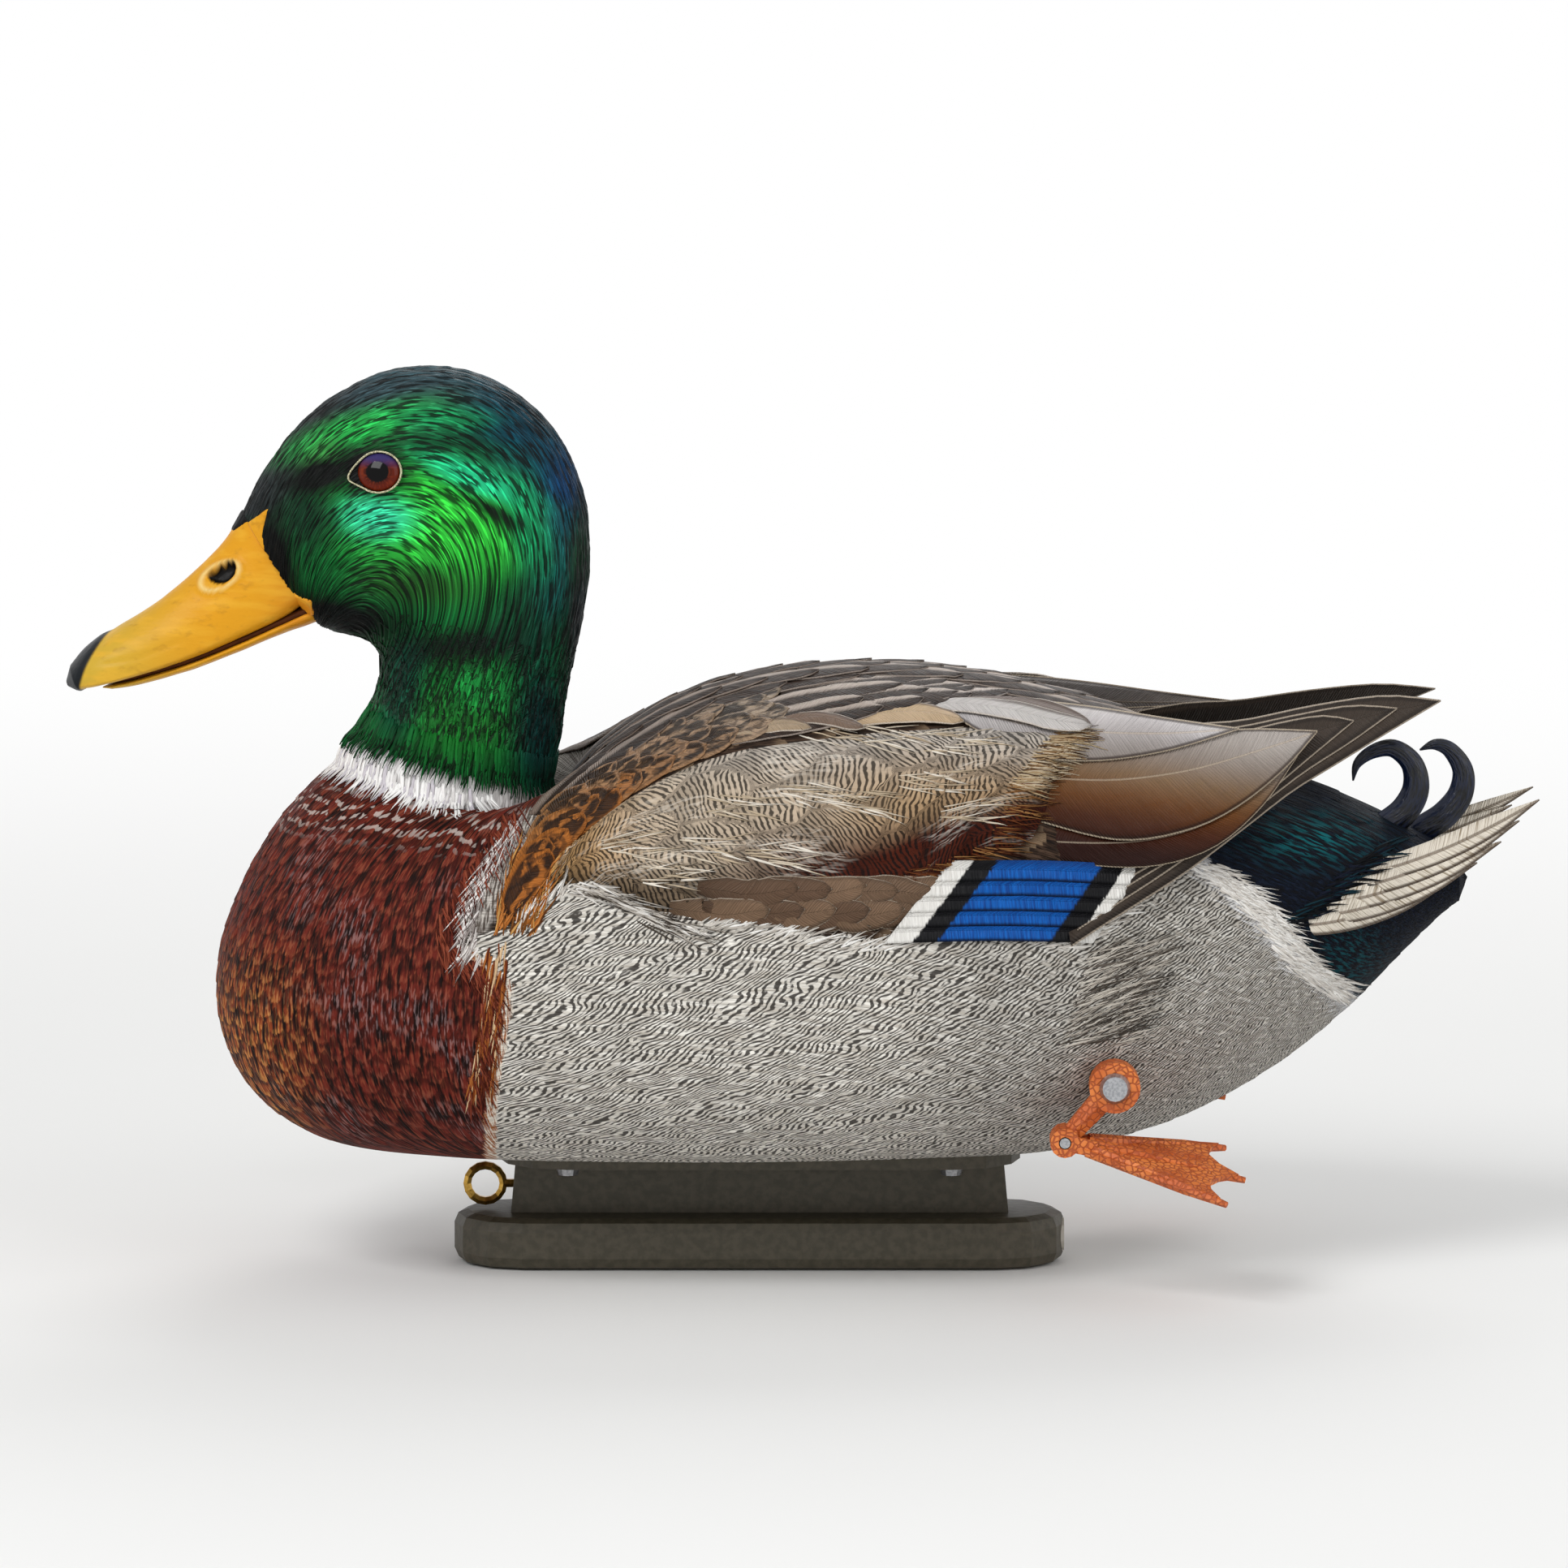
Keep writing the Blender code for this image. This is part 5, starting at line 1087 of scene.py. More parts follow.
def vane(bundle, place, upper, lower, lift, tint, own, shaft, crown=0.8,
         rows=22, columns=9, under=0.0, sink=0.0):
    """A long feather between two edges traced in the picture, root to tip."""
    top, low = sampled(upper, rows + 1), sampled(lower, rows + 1)
    s = np.linspace(0, 1, rows + 1)[:, None]
    t = np.linspace(0, 1, columns + 1)
    spots = low[:, None] + (top - low)[:, None] * t[:, None]
    outer = np.array([[place(px, py, under) for px, py in row] for row in spots])
    across = np.where(t < shaft, (t - shaft) / shaft, (t - shaft) / (1 - shaft))
    outer[..., 1] -= lift + crown * (1 - across**2) * np.sin(math.pi * np.clip(s, 0.1, 0.95))
    outer[..., 1] += sink * (1 - step(s, 0.0, 0.3))
    narrow = np.linalg.norm(top - low, axis=1)[:, None] * RISE / 2
    dim = triple(arc(outer[:, columns // 2])[-1], narrow, 0.0)
    bundle.add(outer, outer + (0, VANE_THICK, 0), triple(s, across, own), dim, tint)
    return outer


def tertial_tint(points):
    """Grey above, through brown, to rust at the lower edge."""
    px, py = to_pixels(points)
    rows = colour_rows((892, "B4ACA6"), (925, "93877E"), (955, "80664C"), (985, "683F1C"), (1015, "45200C"),
                       (1050, "260D06"))
    return rows(py - (px - 1400) * 0.15)


def pale_tint(points):
    """The topmost tertial: lilac grey, white at its upper edge and tip."""
    px, py = to_pixels(points)
    rows = colour_rows((860, "E6E2DF"), (884, "CDC8C8"), (906, "ADA6A4"), (935, "978D86"))
    return rows(py - 22 * step(px, 1400, 1500))


# Upper and lower edge in the picture, lift in mm, tint, and the shaft's share of the width
TERTIALS = (
    ([(1230, 1010), (1400, 985), (1510, 958), (1592, 930)],
     [(1232, 1052), (1310, 1062), (1406, 1066), (1484, 1044), (1545, 995), (1592, 932)],
     0.6, tertial_tint, 0.4),
    ([(1225, 930), (1320, 915), (1432, 905), (1530, 897), (1617, 899)],
     [(1235, 1000), (1280, 1014), (1376, 1033), (1458, 1020), (1519, 991), (1576, 946), (1617, 901)],
     2.6, tertial_tint, 0.62),
    ([(1150, 866), (1200, 860), (1260, 860), (1340, 868), (1430, 882), (1521, 895)],
     [(1150, 870), (1200, 900), (1260, 928), (1340, 936), (1430, 924), (1521, 897)],
     4.4, pale_tint, 0.55),
)


def make_tertials(place):
    """The broad feathers that cover the folded wing."""
    tertials, layers = Bundle(), []
    for n, (upper, lower, lift, tint, shaft) in enumerate(TERTIALS):
        layers.append(vane(tertials, place, upper, lower, lift, tint, 0.2 + 0.3 * n, shaft, sink=5.5))
    paint = vane_paint("tertial_feathers", tertial_recipe)
    tertials.make(add_pair, "tertials", paint, "body", "tertial", "tertials")
    return layers


# Upper and lower edge in the picture, and the feather's own number
PRIMARIES = (
    ([(1300, 1080), (1380, 930), (1450, 896), (1528, 887), (1615, 869), (1702, 857), (1771, 863)],
     [(1312, 1166), (1400, 1108), (1463, 1066), (1528, 1018), (1584, 976), (1637, 944), (1702, 905),
      (1771, 865)], 0.1),
    ([(1310, 1070), (1400, 930), (1460, 905), (1528, 894), (1590, 881), (1660, 869), (1717, 872)],
     [(1320, 1146), (1400, 1092), (1470, 1044), (1540, 996), (1600, 952), (1660, 914), (1717, 874)], 0.4),
    ([(1320, 1060), (1410, 930), (1470, 910), (1528, 900), (1575, 889), (1625, 881), (1663, 887)],
     [(1330, 1126), (1405, 1076), (1480, 1030), (1550, 980), (1612, 930), (1663, 889)], 0.7),
    ([(1330, 1050), (1420, 930), (1470, 916), (1510, 908), (1560, 900), (1612, 902)],
     [(1340, 1106), (1420, 1058), (1480, 1014), (1530, 975), (1575, 935), (1612, 904)], 0.9),
)


def make_primaries(place):
    """The flight feathers' tips that cross over the rump."""
    primaries = Bundle()
    for k, (upper, lower, own) in enumerate(PRIMARIES):
        vane(primaries, place, upper, lower, 0.2 + 0.55 * k, "3F362F", own, 0.55, 0.35, under=3.2, sink=6.0)
    paint = vane_paint("primary_feathers", primary_recipe)
    primaries.make(add_pair, "primaries", paint, "body", "primary", "primaries")


# The speculum's corners in the picture, lower and upper, and how far its rows bow
SPECULUM_FRONT = np.array(((1088.0, 1156.0), (1160.0, 1062.0)))
SPECULUM_REAR = np.array(((1340.0, 1156.0), (1399.0, 1068.0)))
SPECULUM_BOW = (0, -3)
SPECULUM_ROWS = 5


def make_speculum(place):
    """The blue mirror of the wing, in overlapping rows."""
    speculum = Bundle()
    for k in range(SPECULUM_ROWS):
        edges = []
        for share in ((k + 1) / SPECULUM_ROWS + 0.05, k / SPECULUM_ROWS - 0.02):
            front, rear = (low + (top - low) * share for low, top in (SPECULUM_FRONT, SPECULUM_REAR))
            edges.append([front, (front + rear) / 2 + SPECULUM_BOW, rear])
        vane(speculum, place, *edges, 0.3 + 0.35 * k, "2060D0", 0.13 * k, 0.6, 0.35,
             rows=26, columns=6, under=40)
    paint = vane_paint("speculum_feathers", speculum_recipe, 0.38)
    speculum.make(add_pair, "speculum", paint, "body", "speculum", "speculum")


TAIL_TIPS = ((1893, 984), (1868, 1010), (1845, 1036), (1815, 1062), (1780, 1086))
TAIL_ROOTS = ((1650, 1082), (1628, 1100), (1608, 1116), (1585, 1132), (1560, 1142))
TAIL_WIDTHS = ((0, 9), (0.25, 14), (0.5, 15), (0.75, 12), (1, 0.8))
TAIL_BOW = 12.0


def make_tail(place):
    """The white outer tail feathers, the upper ones on top."""
    tail, vanes = Bundle(), []
    for k, (root, tip) in enumerate(zip(np.array(TAIL_ROOTS, float), np.array(TAIL_TIPS, float))):
        way = unit(tip - root)
        side = np.array((way[1], -way[0]))
        upper, lower = [], []
        for s, wide in TAIL_WIDTHS:
            spot = root + (tip - root) * s + (0.0, TAIL_BOW * math.sin(math.pi * s))
            upper.append(spot + side * wide)
            lower.append(spot - side * wide)
        lift = 0.3 + 0.5 * (len(TAIL_TIPS) - 1 - k)
        vanes.append(vane(tail, place, upper, lower, lift, "E9E0D0", 0.17 * k, 0.5, 0.5,
                          rows=18, columns=6, sink=5.0))
    paint = vane_paint("tail_paint", tail_recipe)
    tail.make(add_pair, "tail_feathers", paint, "body", "tail", "tail_feathers")
    return vanes


CAPE_TOP = [
    (672, 985), (700, 958), (745, 922), (805, 884), (885, 846), (985, 822), (1090, 815), (1200, 818),
    (1330, 830), (1420, 838),
]
CAPE_LOW = [
    (626, 1146), (646, 1098), (684, 1046), (745, 994), (812, 948), (905, 912), (1010, 888), (1150, 866),
    (1290, 862), (1400, 876),
]
CAPE_ROWS = 7
# Columns of the picture and colours there
MANTLE_TONES = ((600, "B0682A"), (690, "A86A34"), (750, "A47C58"), (850, "A2866C"), (950, "A2917E"))
CAPE_TONES = ((680, "75655A"), (800, "94857A"), (1000, "B4A79D"), (1200, "C8BDB6"), (1400, "A99E97"))


def make_mantle(seat):
    """Barred shoulder feathers and long back feathers, in rows between two lines traced in the picture."""
    top, low = sampled(CAPE_TOP, 120), sampled(CAPE_LOW, 120)
    barred, cape = Bundle(), Bundle()
    warm, grey = colour_rows(*MANTLE_TONES), colour_rows(*CAPE_TONES)
    for k in range(CAPE_ROWS):
        share = (k + 0.15) / CAPE_ROWS
        line = low + (top - low) * share
        run = arc(line)
        start = run[-1] - 90 - 28 * (k % 2)
        while start > -8:
            own = hashed(int(start) + 400, k, 5)
            is_long = share > 0.6 or np.interp(start, run, line[:, 0]) > 900
            long = 140 + 60 * own if is_long else 70 + 34 * own
            sway = (own - 0.5) * 8
            spots = [[np.interp(start + long * q, run, column) + sway * q for column in line.T]
                     for q in (0, 0.33, 0.67, 1.0)]
            if is_long:
                feathered(cape, seat, spots, 4.2 + 2.0 * own, grey(spots[1][0]), own, leaf(0.5, 0.5),
                          rising(0.3, 1.2), rows=14)
            else:
                warmth = spots[1][0] - 50 * max(0.0, 1 - share * 3.0) + 90 * share
                feathered(barred, seat, spots, 4.6 + 1.8 * own, warm(warmth), own, leaf(0.6, 0.55),
                          rising(0.15, 1.0), rows=10)
            start -= 66 + 14 * own if is_long else 36 + 8 * own
    barred.make(add_pair, "mantle", vane_paint("mantle_feathers", mantle_recipe), "body", "back")
    cape.make(add_pair, "cape", vane_paint("cape_feathers", cape_recipe), "body", "back")


def make_spine(seat):
    """Back feathers down the middle, over the meeting of the two sides."""
    spine = Bundle()
    tint = colour_rows((-70, "75655A"), (-40, "94857A"), (5, "A89B91"), (50, "B4A79D"), (90, "8A7A6C"))
    for k, side in enumerate((-9.5, 0.5, 10.0)):
        for x in np.arange(62.0 - 5.0 * k, -66.0, -13.0):
            own = hashed(int(x) + 400, k, 31)
            long, half = 30.0 + 10.0 * own, 5.4 + 2.0 * own
            y = side + (own - 0.5) * 5.0
            spots = [seat.over(x + long * q, y + (own - 0.5) * 6.0 * q) for q in (0.0, 0.33, 0.67, 1.0)]
            lay(spine, seat, spots, half, tint(x + 0.5 * long), own, leaf(0.5, 0.5), rising(0.9, 1.5),
                (long, half), rows=14)
    spine.make(add_mesh, "spine_feathers", vane_paint("spine_vanes", cape_recipe), "body", "back")


# Shaft in the picture, half width in mm, colour and lift
PALE_SCAPULARS = (
    ([(1190, 862), (1250, 868), (1300, 881), (1340, 897)], 3.4, "8A7F7A", 1.0),
    ([(1020, 897), (1056, 888), (1100, 882), (1140, 884), (1184, 895)], 5.0, "C2A888", 1.3),
    ([(1120, 872), (1180, 872), (1240, 881), (1290, 894), (1340, 901)], 4.8, "C9C4C1", 1.8),
    ([(940, 898), (988, 889), (1020, 891), (1064, 906)], 3.2, "7A6658", 1.6),
    ([(860, 930), (910, 905), (960, 896), (1000, 902)], 3.6, "A8937A", 1.0),
)


def make_pale_scapulars(seat):
    """The long upper scapulars between the back feathers and the tertials."""
    pale = Bundle()
    for n, (spots, half, tint, rise) in enumerate(PALE_SCAPULARS):
        feathered(pale, seat, spots, half, tint, 0.17 * n, leaf(0.5, 0.45), rising(rise * 0.3, rise),
                  rows=16, columns=8)
    paint = vane_paint("upper_scapular_feathers", pale_recipe)
    pale.make(add_pair, "upper_scapulars", paint, "body", "wing")


# A row in the picture, and its first and last column
COVERT_ROWS = ((1124, 1112, 890), (1100, 1146, 940))
COVERT_TONES = ("6A5442", "604A3A", "765E4A")


def make_coverts(seat):
    """The broad grey-brown coverts under the scapulars, in two rows."""
    coverts = Bundle()
    for k, (py, start, stop) in enumerate(COVERT_ROWS):
        for px in range(start, stop, -40):
            own = hashed(px, k, 9)
            spots = [(px - 84, py - 10), (px - 20, py - 4 + 4 * own), (px + 38, py - 4 - 8 * own)]
            tint = COVERT_TONES[int(own * 2.99)]
            feathered(coverts, seat, spots, 4.8 + own, tint, own, leaf(0.35, 0.4), rising(0.1, 0.9),
                      rows=14)
    coverts.make(add_pair, "coverts", vane_paint("covert_feathers", covert_recipe), "body", "wing")


TUFTS = (
    (985, 975), (1045, 985), (1010, 898), (1080, 905), (895, 990), (1130, 962), (945, 1050), (865, 1042),
    (1160, 915), (820, 1075), (1180, 1000), (770, 1040),
)


def make_tufts(seat):
    """Pale loose barbs that lift from the scapulars in tufts."""
    tufts = Bundle()
    for n, (x, y) in enumerate(TUFTS):
        roots = [(x + 26 * math.sin(i * 2.4 + n), y + 11 * math.sin(i * 1.9 + 2 * n)) for i in range(16)]
        barbs = Barbs((0.96, 0.2 - 0.02 * n), 46, 30, 0.26, "EFE7DA D9CCB8 C4B298", 70 + n, 0.7)
        hairs(tufts, seat, roots, barbs)
    tufts.make(add_pair, "scapular_tufts", hair_paint("tuft_barbs"), "body", "wing")


def flipped(edge):
    """A border given as rows and columns, as columns and rows."""
    return [(x, y) for y, x in edge]


def flank_way(px):
    """The way the barbs lie along the flank's upper edge, in the picture."""
    return (0.4, -0.92) if px < 700 else (0.94, 0.3) if px < 860 else (0.92, -0.38)


WHITES = "F4F2EE E6E2DC D2CCC4"
# Loose barbs along borders: line in the picture, count, the roots' shift, sway and its rates, and the barbs
RUMP_SIDE_BARBS = tuple(
    (flipped(RUMP_EDGE[3:9]), 230, (shift, 0), (5, 6), (5.3, 2.9),
     Barbs((0.9, 0.42), 28, 36, 0.26, WHITES, seed, 0.4))
    for shift, seed in ((-26, 31), (-12, 32), (-2, 33))
)
FLANK_BARBS = (
    # White along the upper edge
    (FLANK_EDGE[1:-1], 330, (0, 10), (3, 5), (7.1, 3.7),
     Barbs(flank_way, 30, 40, 0.3, WHITES + " B9B2A9", 21, 0.6)),
    # Mixed on the front lobe
    ([(716, 1084), (748, 1088), (785, 1104), (815, 1122), (850, 1132)], 70, (-10, 8), (8, 6), (4.1, 2.7),
     Barbs((0.95, 0.3), 52, 22, 0.22, "E6E2DC BDB5AA 4A423A 8E867C", 22, 0.7)),
    # White in three rows against the rump
    *RUMP_SIDE_BARBS,
    # Dark and pale at the rear
    ([(1368, 1165), (1332.15, 1284.5)], 240, (0, 0), (34, 0), (1.7, 0),
     Barbs((0.93, -0.36), 52, 26, 0.18, "6A625A BDB5AA 4A433C DAD3C8", 41, 0.4)),
)
RUMP_BARBS = (
    # Black over the roots of the tail
    ([(1712, 1046), (1690, 1062), (1660, 1086), (1630, 1110), (1596, 1136)],
     110, (-20, 0), (7, 4), (3.1, 4.7),
     Barbs((0.97, -0.2), 36, 34, 0.42, "05070C 0A1020 0C2A34 04060A", 81, 1.0)),
)
BREAST_BARBS = (
    # Chestnut along the rear edge
    (flipped(BREAST_EDGE[2:12]), 300, (-16, 0), (8, 6), (4.3, 2.3),
     Barbs((0.34, 0.94), 30, 40, 0.36, "5A2417 7A3524 44180F 8A4530", 51, 0.5)),
    # Pale beside the shoulder
    ([(648, 1004), (622, 1040), (600, 1080), (588, 1130), (592, 1172)], 130, (0, 0), (8, 5), (4.3, 2.3),
     Barbs((-0.45, 0.89), 34, 36, 0.3, "CFC8C4 A89F9C EDE8E4 8E8480", 52, 0.5)),
    # Golden on the shoulder
    ([(640, 1150), (659.9, 1060.45)], 200, (0, 0), (24, 6), (2.4, 3.1),
     Barbs((0.42, -0.9), 36, 44, 0.34, "A8642A C07A3C 7A4A20 C89858 5A3418", 54, 0.7)),
    # Golden down the seam with the flank
    ([(632, 1158), (629, 1200), (620, 1262), (610, 1330)], 110, (-10, 0), (12, 5), (4.3, 2.3),
     Barbs((-0.12, 0.99), 34, 24, 0.32, "A8632E 7A3A18 5A2614 D8B890", 53, 0.5)),
)
SCAPULAR_BARBS = (
    # Tan along the rear edge
    ([(1338, 902), (1312, 930), (1275, 974)], 190, (-34, -3), (6, 5), (3.3, 5.9),
     Barbs((0.98, 0.1), 44, 26, 0.2, "B79C78 D8C9B0 8A6A48 C4B08E 4E3826", 61, 0.8)),
    # Rust along the lower edge
    ([(1277, 970), (1258, 1024), (1228, 1054), (1120, 1084), (1000, 1088)],
     190, (-34, -3), (6, 5), (3.3, 5.9),
     Barbs((0.98, 0.1), 44, 26, 0.2, "8A5E34 5A2E18 A57848 3A1A0E 6E3C20", 62, 0.8)),
)


# Head, bill and eyes

# Dabs of colour on the head in the picture: column, row, half length and height, turn, colour and strength
# Some dabs are painted light: the bright greens and teals over the eye and on the cheek are painted
# highlights of the sheen, and the dark band under the cheek is painted shade
HEAD_DABS = [
    (500, 458, 236, 66, -2, "2E4248", 1.25), (352, 560, 52, 130, 32, "24282A", 1.3),
    (640, 534, 70, 60, 45, "08384C", 0.95), (692, 640, 40, 130, 8, "0A2E58", 1),
    (716, 730, 20, 210, 4, "030810", 1), (672, 500, 60, 40, 45, "08141C", 0.8),
    (450, 533, 92, 21, -18, "22A848", 1), (545, 520, 60, 17, 2, "15804A", 0.9),
    (402, 566, 30, 20, -45, "3C8A40", 0.7), (570, 556, 70, 20, 6, "053A26", 0.9),
    (545, 652, 116, 66, 12, "30BE3A", 1), (470, 640, 46, 28, 5, "34CC98", 1),
    (595, 596, 74, 17, 22, "22BE82", 1), (655, 660, 24, 66, -16, "0E8654", 0.8),
    (612, 634, 46, 9, 30, "02120B", 0.9), (515, 722, 80, 26, 4, "1A4A18", 0.95),
    (385, 640, 40, 44, 0, "0C2A1C", 0.9), (344, 690, 26, 74, -14, "040605", 1.1),
    (398, 590, 44, 22, -16, "050806", 1.2), (462, 584, 48, 36, 0, "040706", 1.2),
    (420, 762, 90, 28, 10, "040A08", 1.1), (570, 800, 120, 26, -8, "03140A", 1),
    (640, 760, 40, 60, 20, "06321E", 0.8), (575, 890, 84, 60, 0, "10601E", 1),
    (600, 850, 40, 26, 0, "18883A", 0.8), (497, 850, 28, 66, 10, "08382C", 0.9),
    (668, 900, 36, 100, 0, "042A2C", 0.95),
]
# The lobe of the bill's base in the picture: rows and columns, and its lowest row
LOBE_EDGE = [
    (627, 336), (645, 331), (663, 329), (685, 333), (703, 340), (719, 350), (731, 361), (737, 376),
    (742, 389), (757, 391), (772, 384),
]
LOBE_FOOT = 772
NECK_RINGS = ((-3.0, 28.0), (1.0, 28.2), (4.0, 28.8))
NECK_ROWS = 10
NECK_COUNT = 44


def head_colour_and_sheen(points):
    """Iridescent greens and blues of the head, with painted highlights of their sheen and painted shade
    under the cheek, dabbed where the picture shows them.
    """
    px, py = to_pixels(points)
    colour = np.array(rgb("0A5A28"))
    for x, y, half_length, half_height, turn, text, strength in HEAD_DABS:
        a, b = turned(px - x, py - y, turn)
        far = (a / half_length) ** 2 + (b / half_height) ** 2
        colour = blend(colour, text, np.clip(np.exp(-(far**1.5)) * strength, 0, 1))
    return colour


def make_head():
    """The feathered skin of head and neck, with the bill's lobes on it."""
    angles = circle(HEAD_SIDES)
    skin = rings(curve(HEAD, HEAD_STRETCH), angles)
    last, middle = skin[-1], skin[-1].mean(axis=0)
    foot = neck_ring(4.6, 29.0, angles)
    neck = [neck_ring(height, radius, angles) for height, radius in NECK_RINGS]
    neck += [foot + (skin[0] - foot) * t for t in (0.25, 0.5, 0.75)]
    face = [middle + (last - middle) * t for t in (0.8, 0.4, 0.02)]
    skin = np.concatenate([neck, skin, face])
    normal = outward(skin, True)
    along, across = arc(skin), around(skin)
    back = along[-1:] - along
    tip, side, _ = scales(back, across, 4.6, 4.0, 13)
    strand = strands(back, across, (0.16, 1.5), (0.4, 3.2), 2)
    neck_share = step(to_pixels(skin)[1], 770, 850)
    lift = (tip * 0.35 - 0.1 * side**2 - 0.1) * (0.4 + 0.9 * neck_share) + strand * 0.5
    points = skin + normal * (lift * step(back, 0, 6))[..., None]
    values = {
        "flow": triple(back, across, neck_share),
        "cell": triple(tip, 0.0, 0.0),
        "tint": head_colour_and_sheen(skin),
    }
    paint = head_paint("head_feathers")
    add_mesh("head_skin", points, skin_faces(skin), paint, "head", values, "head", "head")
    make_lobes(skin, normal)
    return points


def inlaid(skin, normal, inside, sunk, full, proud):
    """A patch of a skin, sunk below it outside and proud of it inside: its points and faces."""
    faces = skin_faces(skin)
    points = skin + normal * (-sunk + proud * step(inside, -sunk, full))[..., None]
    return points, faces[inside.reshape(-1)[faces].max(axis=1) > -sunk]


def brow_line(px):
    """Where the dark forehead feathers end over the base of the bill, as a row of the picture."""
    return 627.0 + 0.65 * (336.0 - px)


def make_lobes(skin, normal):
    """The bill's base where it runs back over the face in two lobes, with the gape's corners."""
    px, py = to_pixels(skin)
    inside = np.minimum((np.interp(py, *zip(*LOBE_EDGE)) - px) * SCALE, (LOBE_FOOT - py) * RISE)
    inside = np.minimum(inside, (py - brow_line(px)) * RISE)
    points, faces = inlaid(skin, normal, inside, 0.9, 0.9, 1.35)
    add_mesh("bill_lobes", points, faces, bill_paint(), "head", {"mark": np.zeros(skin.shape)}, slot="bill")


NECK_LIMIT = 42.0


def neck_radius(seat):
    """A function for how far a surface stands from the neck's axis, at a height and angle."""

    def reach(height, angle):
        start, out = neck_ring(np.full(2, height), np.array((0.0, 1.0)), np.full(2, angle))
        hit = seat.hit(start, out - start)
        far = NECK_LIMIT if hit is None else (Vector(hit) - Vector(start)).length
        return far if far < NECK_LIMIT else 0.0

    return reach


def make_neck(seat):
    """Small feathers down the neck, each row's tips over the next."""
    reach = neck_radius(seat)
    neck = Bundle()
    for k in range(NECK_ROWS):
        for n in range(NECK_COUNT):
            own = hashed(n, k, 21)
            angle = math.tau * (n + 0.5 * (k % 2) + (own - 0.5) * 0.6) / NECK_COUNT
            heights = 10.0 + 2.8 * k + (own - 0.5) * 1.5 + np.array((9.0, 4.5, 0.0))
            radius = np.array([reach(h, angle) for h in heights])
            if radius.min() <= 0.0:
                continue
            spots = neck_ring(heights, radius, np.full(3, angle))
            lay(neck, seat, spots, 2.1 + 0.8 * own, lambda at: head_colour_and_sheen(at) * (0.25 + 1.25 * own), own,
                leaf(0.5, 0.5), rising(0.05, 0.5), (9.0, 2.4), crown=0.25, thick=0.25, columns=4, rows=6)
    neck.make(add_mesh, "neck_feathers", vane_paint("neck_vanes", neck_recipe), "head", "head")


# The nostril in the picture: its middle's column and row, and its turn
NOSTRIL = (279.0, 708.0, -30.0)
INTO_HEAD = np.array((9.0, 0.0, 3.0))


def bill_skin(lines, tip):
    """One half of the bill as a grid of points, from inside the head to its rounded tip."""
    skin = rings(curve(lines, BILL_STRETCH), circle(BILL_SIDES))
    first, last = skin[0].mean(axis=0), skin[-1]
    root = [first + (skin[0] - first) * t + INTO_HEAD for t in (0.02, 0.5, 0.8)]
    end = [np.array(tip) + (last - tip) * math.sqrt(1 - t * t) for t in (0.3, 0.6, 0.85, 0.99)]
    return np.concatenate([root, skin, end])


def bill_waves(px, py):
    """The slight unevenness of the horn."""
    return 0.12 * (noise(px * 0.05, py * 0.08, 3) - 0.5)


def make_brow(skin, normal, px, py):
    """The wedge of dark forehead feathers over the base of the bill, shorter in the middle."""
    dip = 1.1 * (11.5 - np.abs(skin[..., 1]))
    inside = np.minimum((brow_line(px) - py) * RISE, (px - 299 + dip) * SCALE)
    points, faces = inlaid(skin, normal, inside, 0.6, 0.8, 0.95)
    values = {
        "flow": triple(px * SCALE, skin[..., 1], 0.0),
        "cell": np.zeros(skin.shape),
        "tint": np.broadcast_to(rgb("08090A"), px.shape + (4,)),
    }
    add_mesh("brow_wedge", points, faces, head_paint("brow_feathers"), "head", values, slot="head")


def make_upper_bill(paint):
    """The upper bill with its nostrils, nail and the crease above its edge."""
    skin = bill_skin(UPPER_BILL, UPPER_TIP)
    normal = outward(skin, True)
    px, py = to_pixels(skin)
    make_brow(skin, normal, px, py)
    column, row, turn = NOSTRIL
    a, b = turned(px - column, py - row, turn)
    far = np.hypot(a / 20.0, (b + 0.012 * a * a) / 10.5)
    wide = np.hypot((a + 5) / 29.0, (b - 1) / 16.0)
    to_nail = px + (py - 793) * 0.42 + np.abs(skin[..., 1])
    crease = py - (822 - (px - 114) * 0.16 - np.clip(px - 175, 0, 200) * 0.25)
    lift = bill_waves(px, py) - 2.8 * step(far, 1.08, 0.6) + 0.8 * ridge(wide - 0.92, 0.3)
    lift = lift + 0.7 * step(to_nail, 137, 125)
    lift = lift - 0.35 * ridge(crease, 5) * step(px, 245, 215) * step(px, 120, 140)
    mark = triple(step(to_nail, 135, 131), step(far, 1.04, 0.92), ridge(wide - 0.9, 0.2) * 0.7)
    points, faces = skin + normal * lift[..., None], skin_faces(skin)
    add_mesh("bill_upper_skin", points, faces, paint, "head", {"mark": mark}, "bill_upper", "bill")


def make_lower_bill(paint):
    """The lower bill, and the mouth's lining over it."""
    skin = bill_skin(LOWER_BILL, LOWER_TIP)
    faces = skin_faces(skin)
    lining = skin * (1.0, 0.95, 1.0) + (0.0, 0.0, 1.7)
    add_mesh("mouth_lining", lining, faces, mouth_paint(), "head", {}, slot="bill")
    points = skin + outward(skin, True) * bill_waves(*to_pixels(skin))[..., None]
    values = {"mark": np.zeros(skin.shape)}
    add_mesh("bill_lower_skin", points, faces, paint, "head", values, "bill_lower", "bill")


EYE_RADIUS = 6.5
EYE_BULGE = 3.2
EYE_HEIGHT = 0.88
EYE_ROWS = 26
EYE_SIDES = 64
LID_STEPS = 72
LID_SIDES = 10


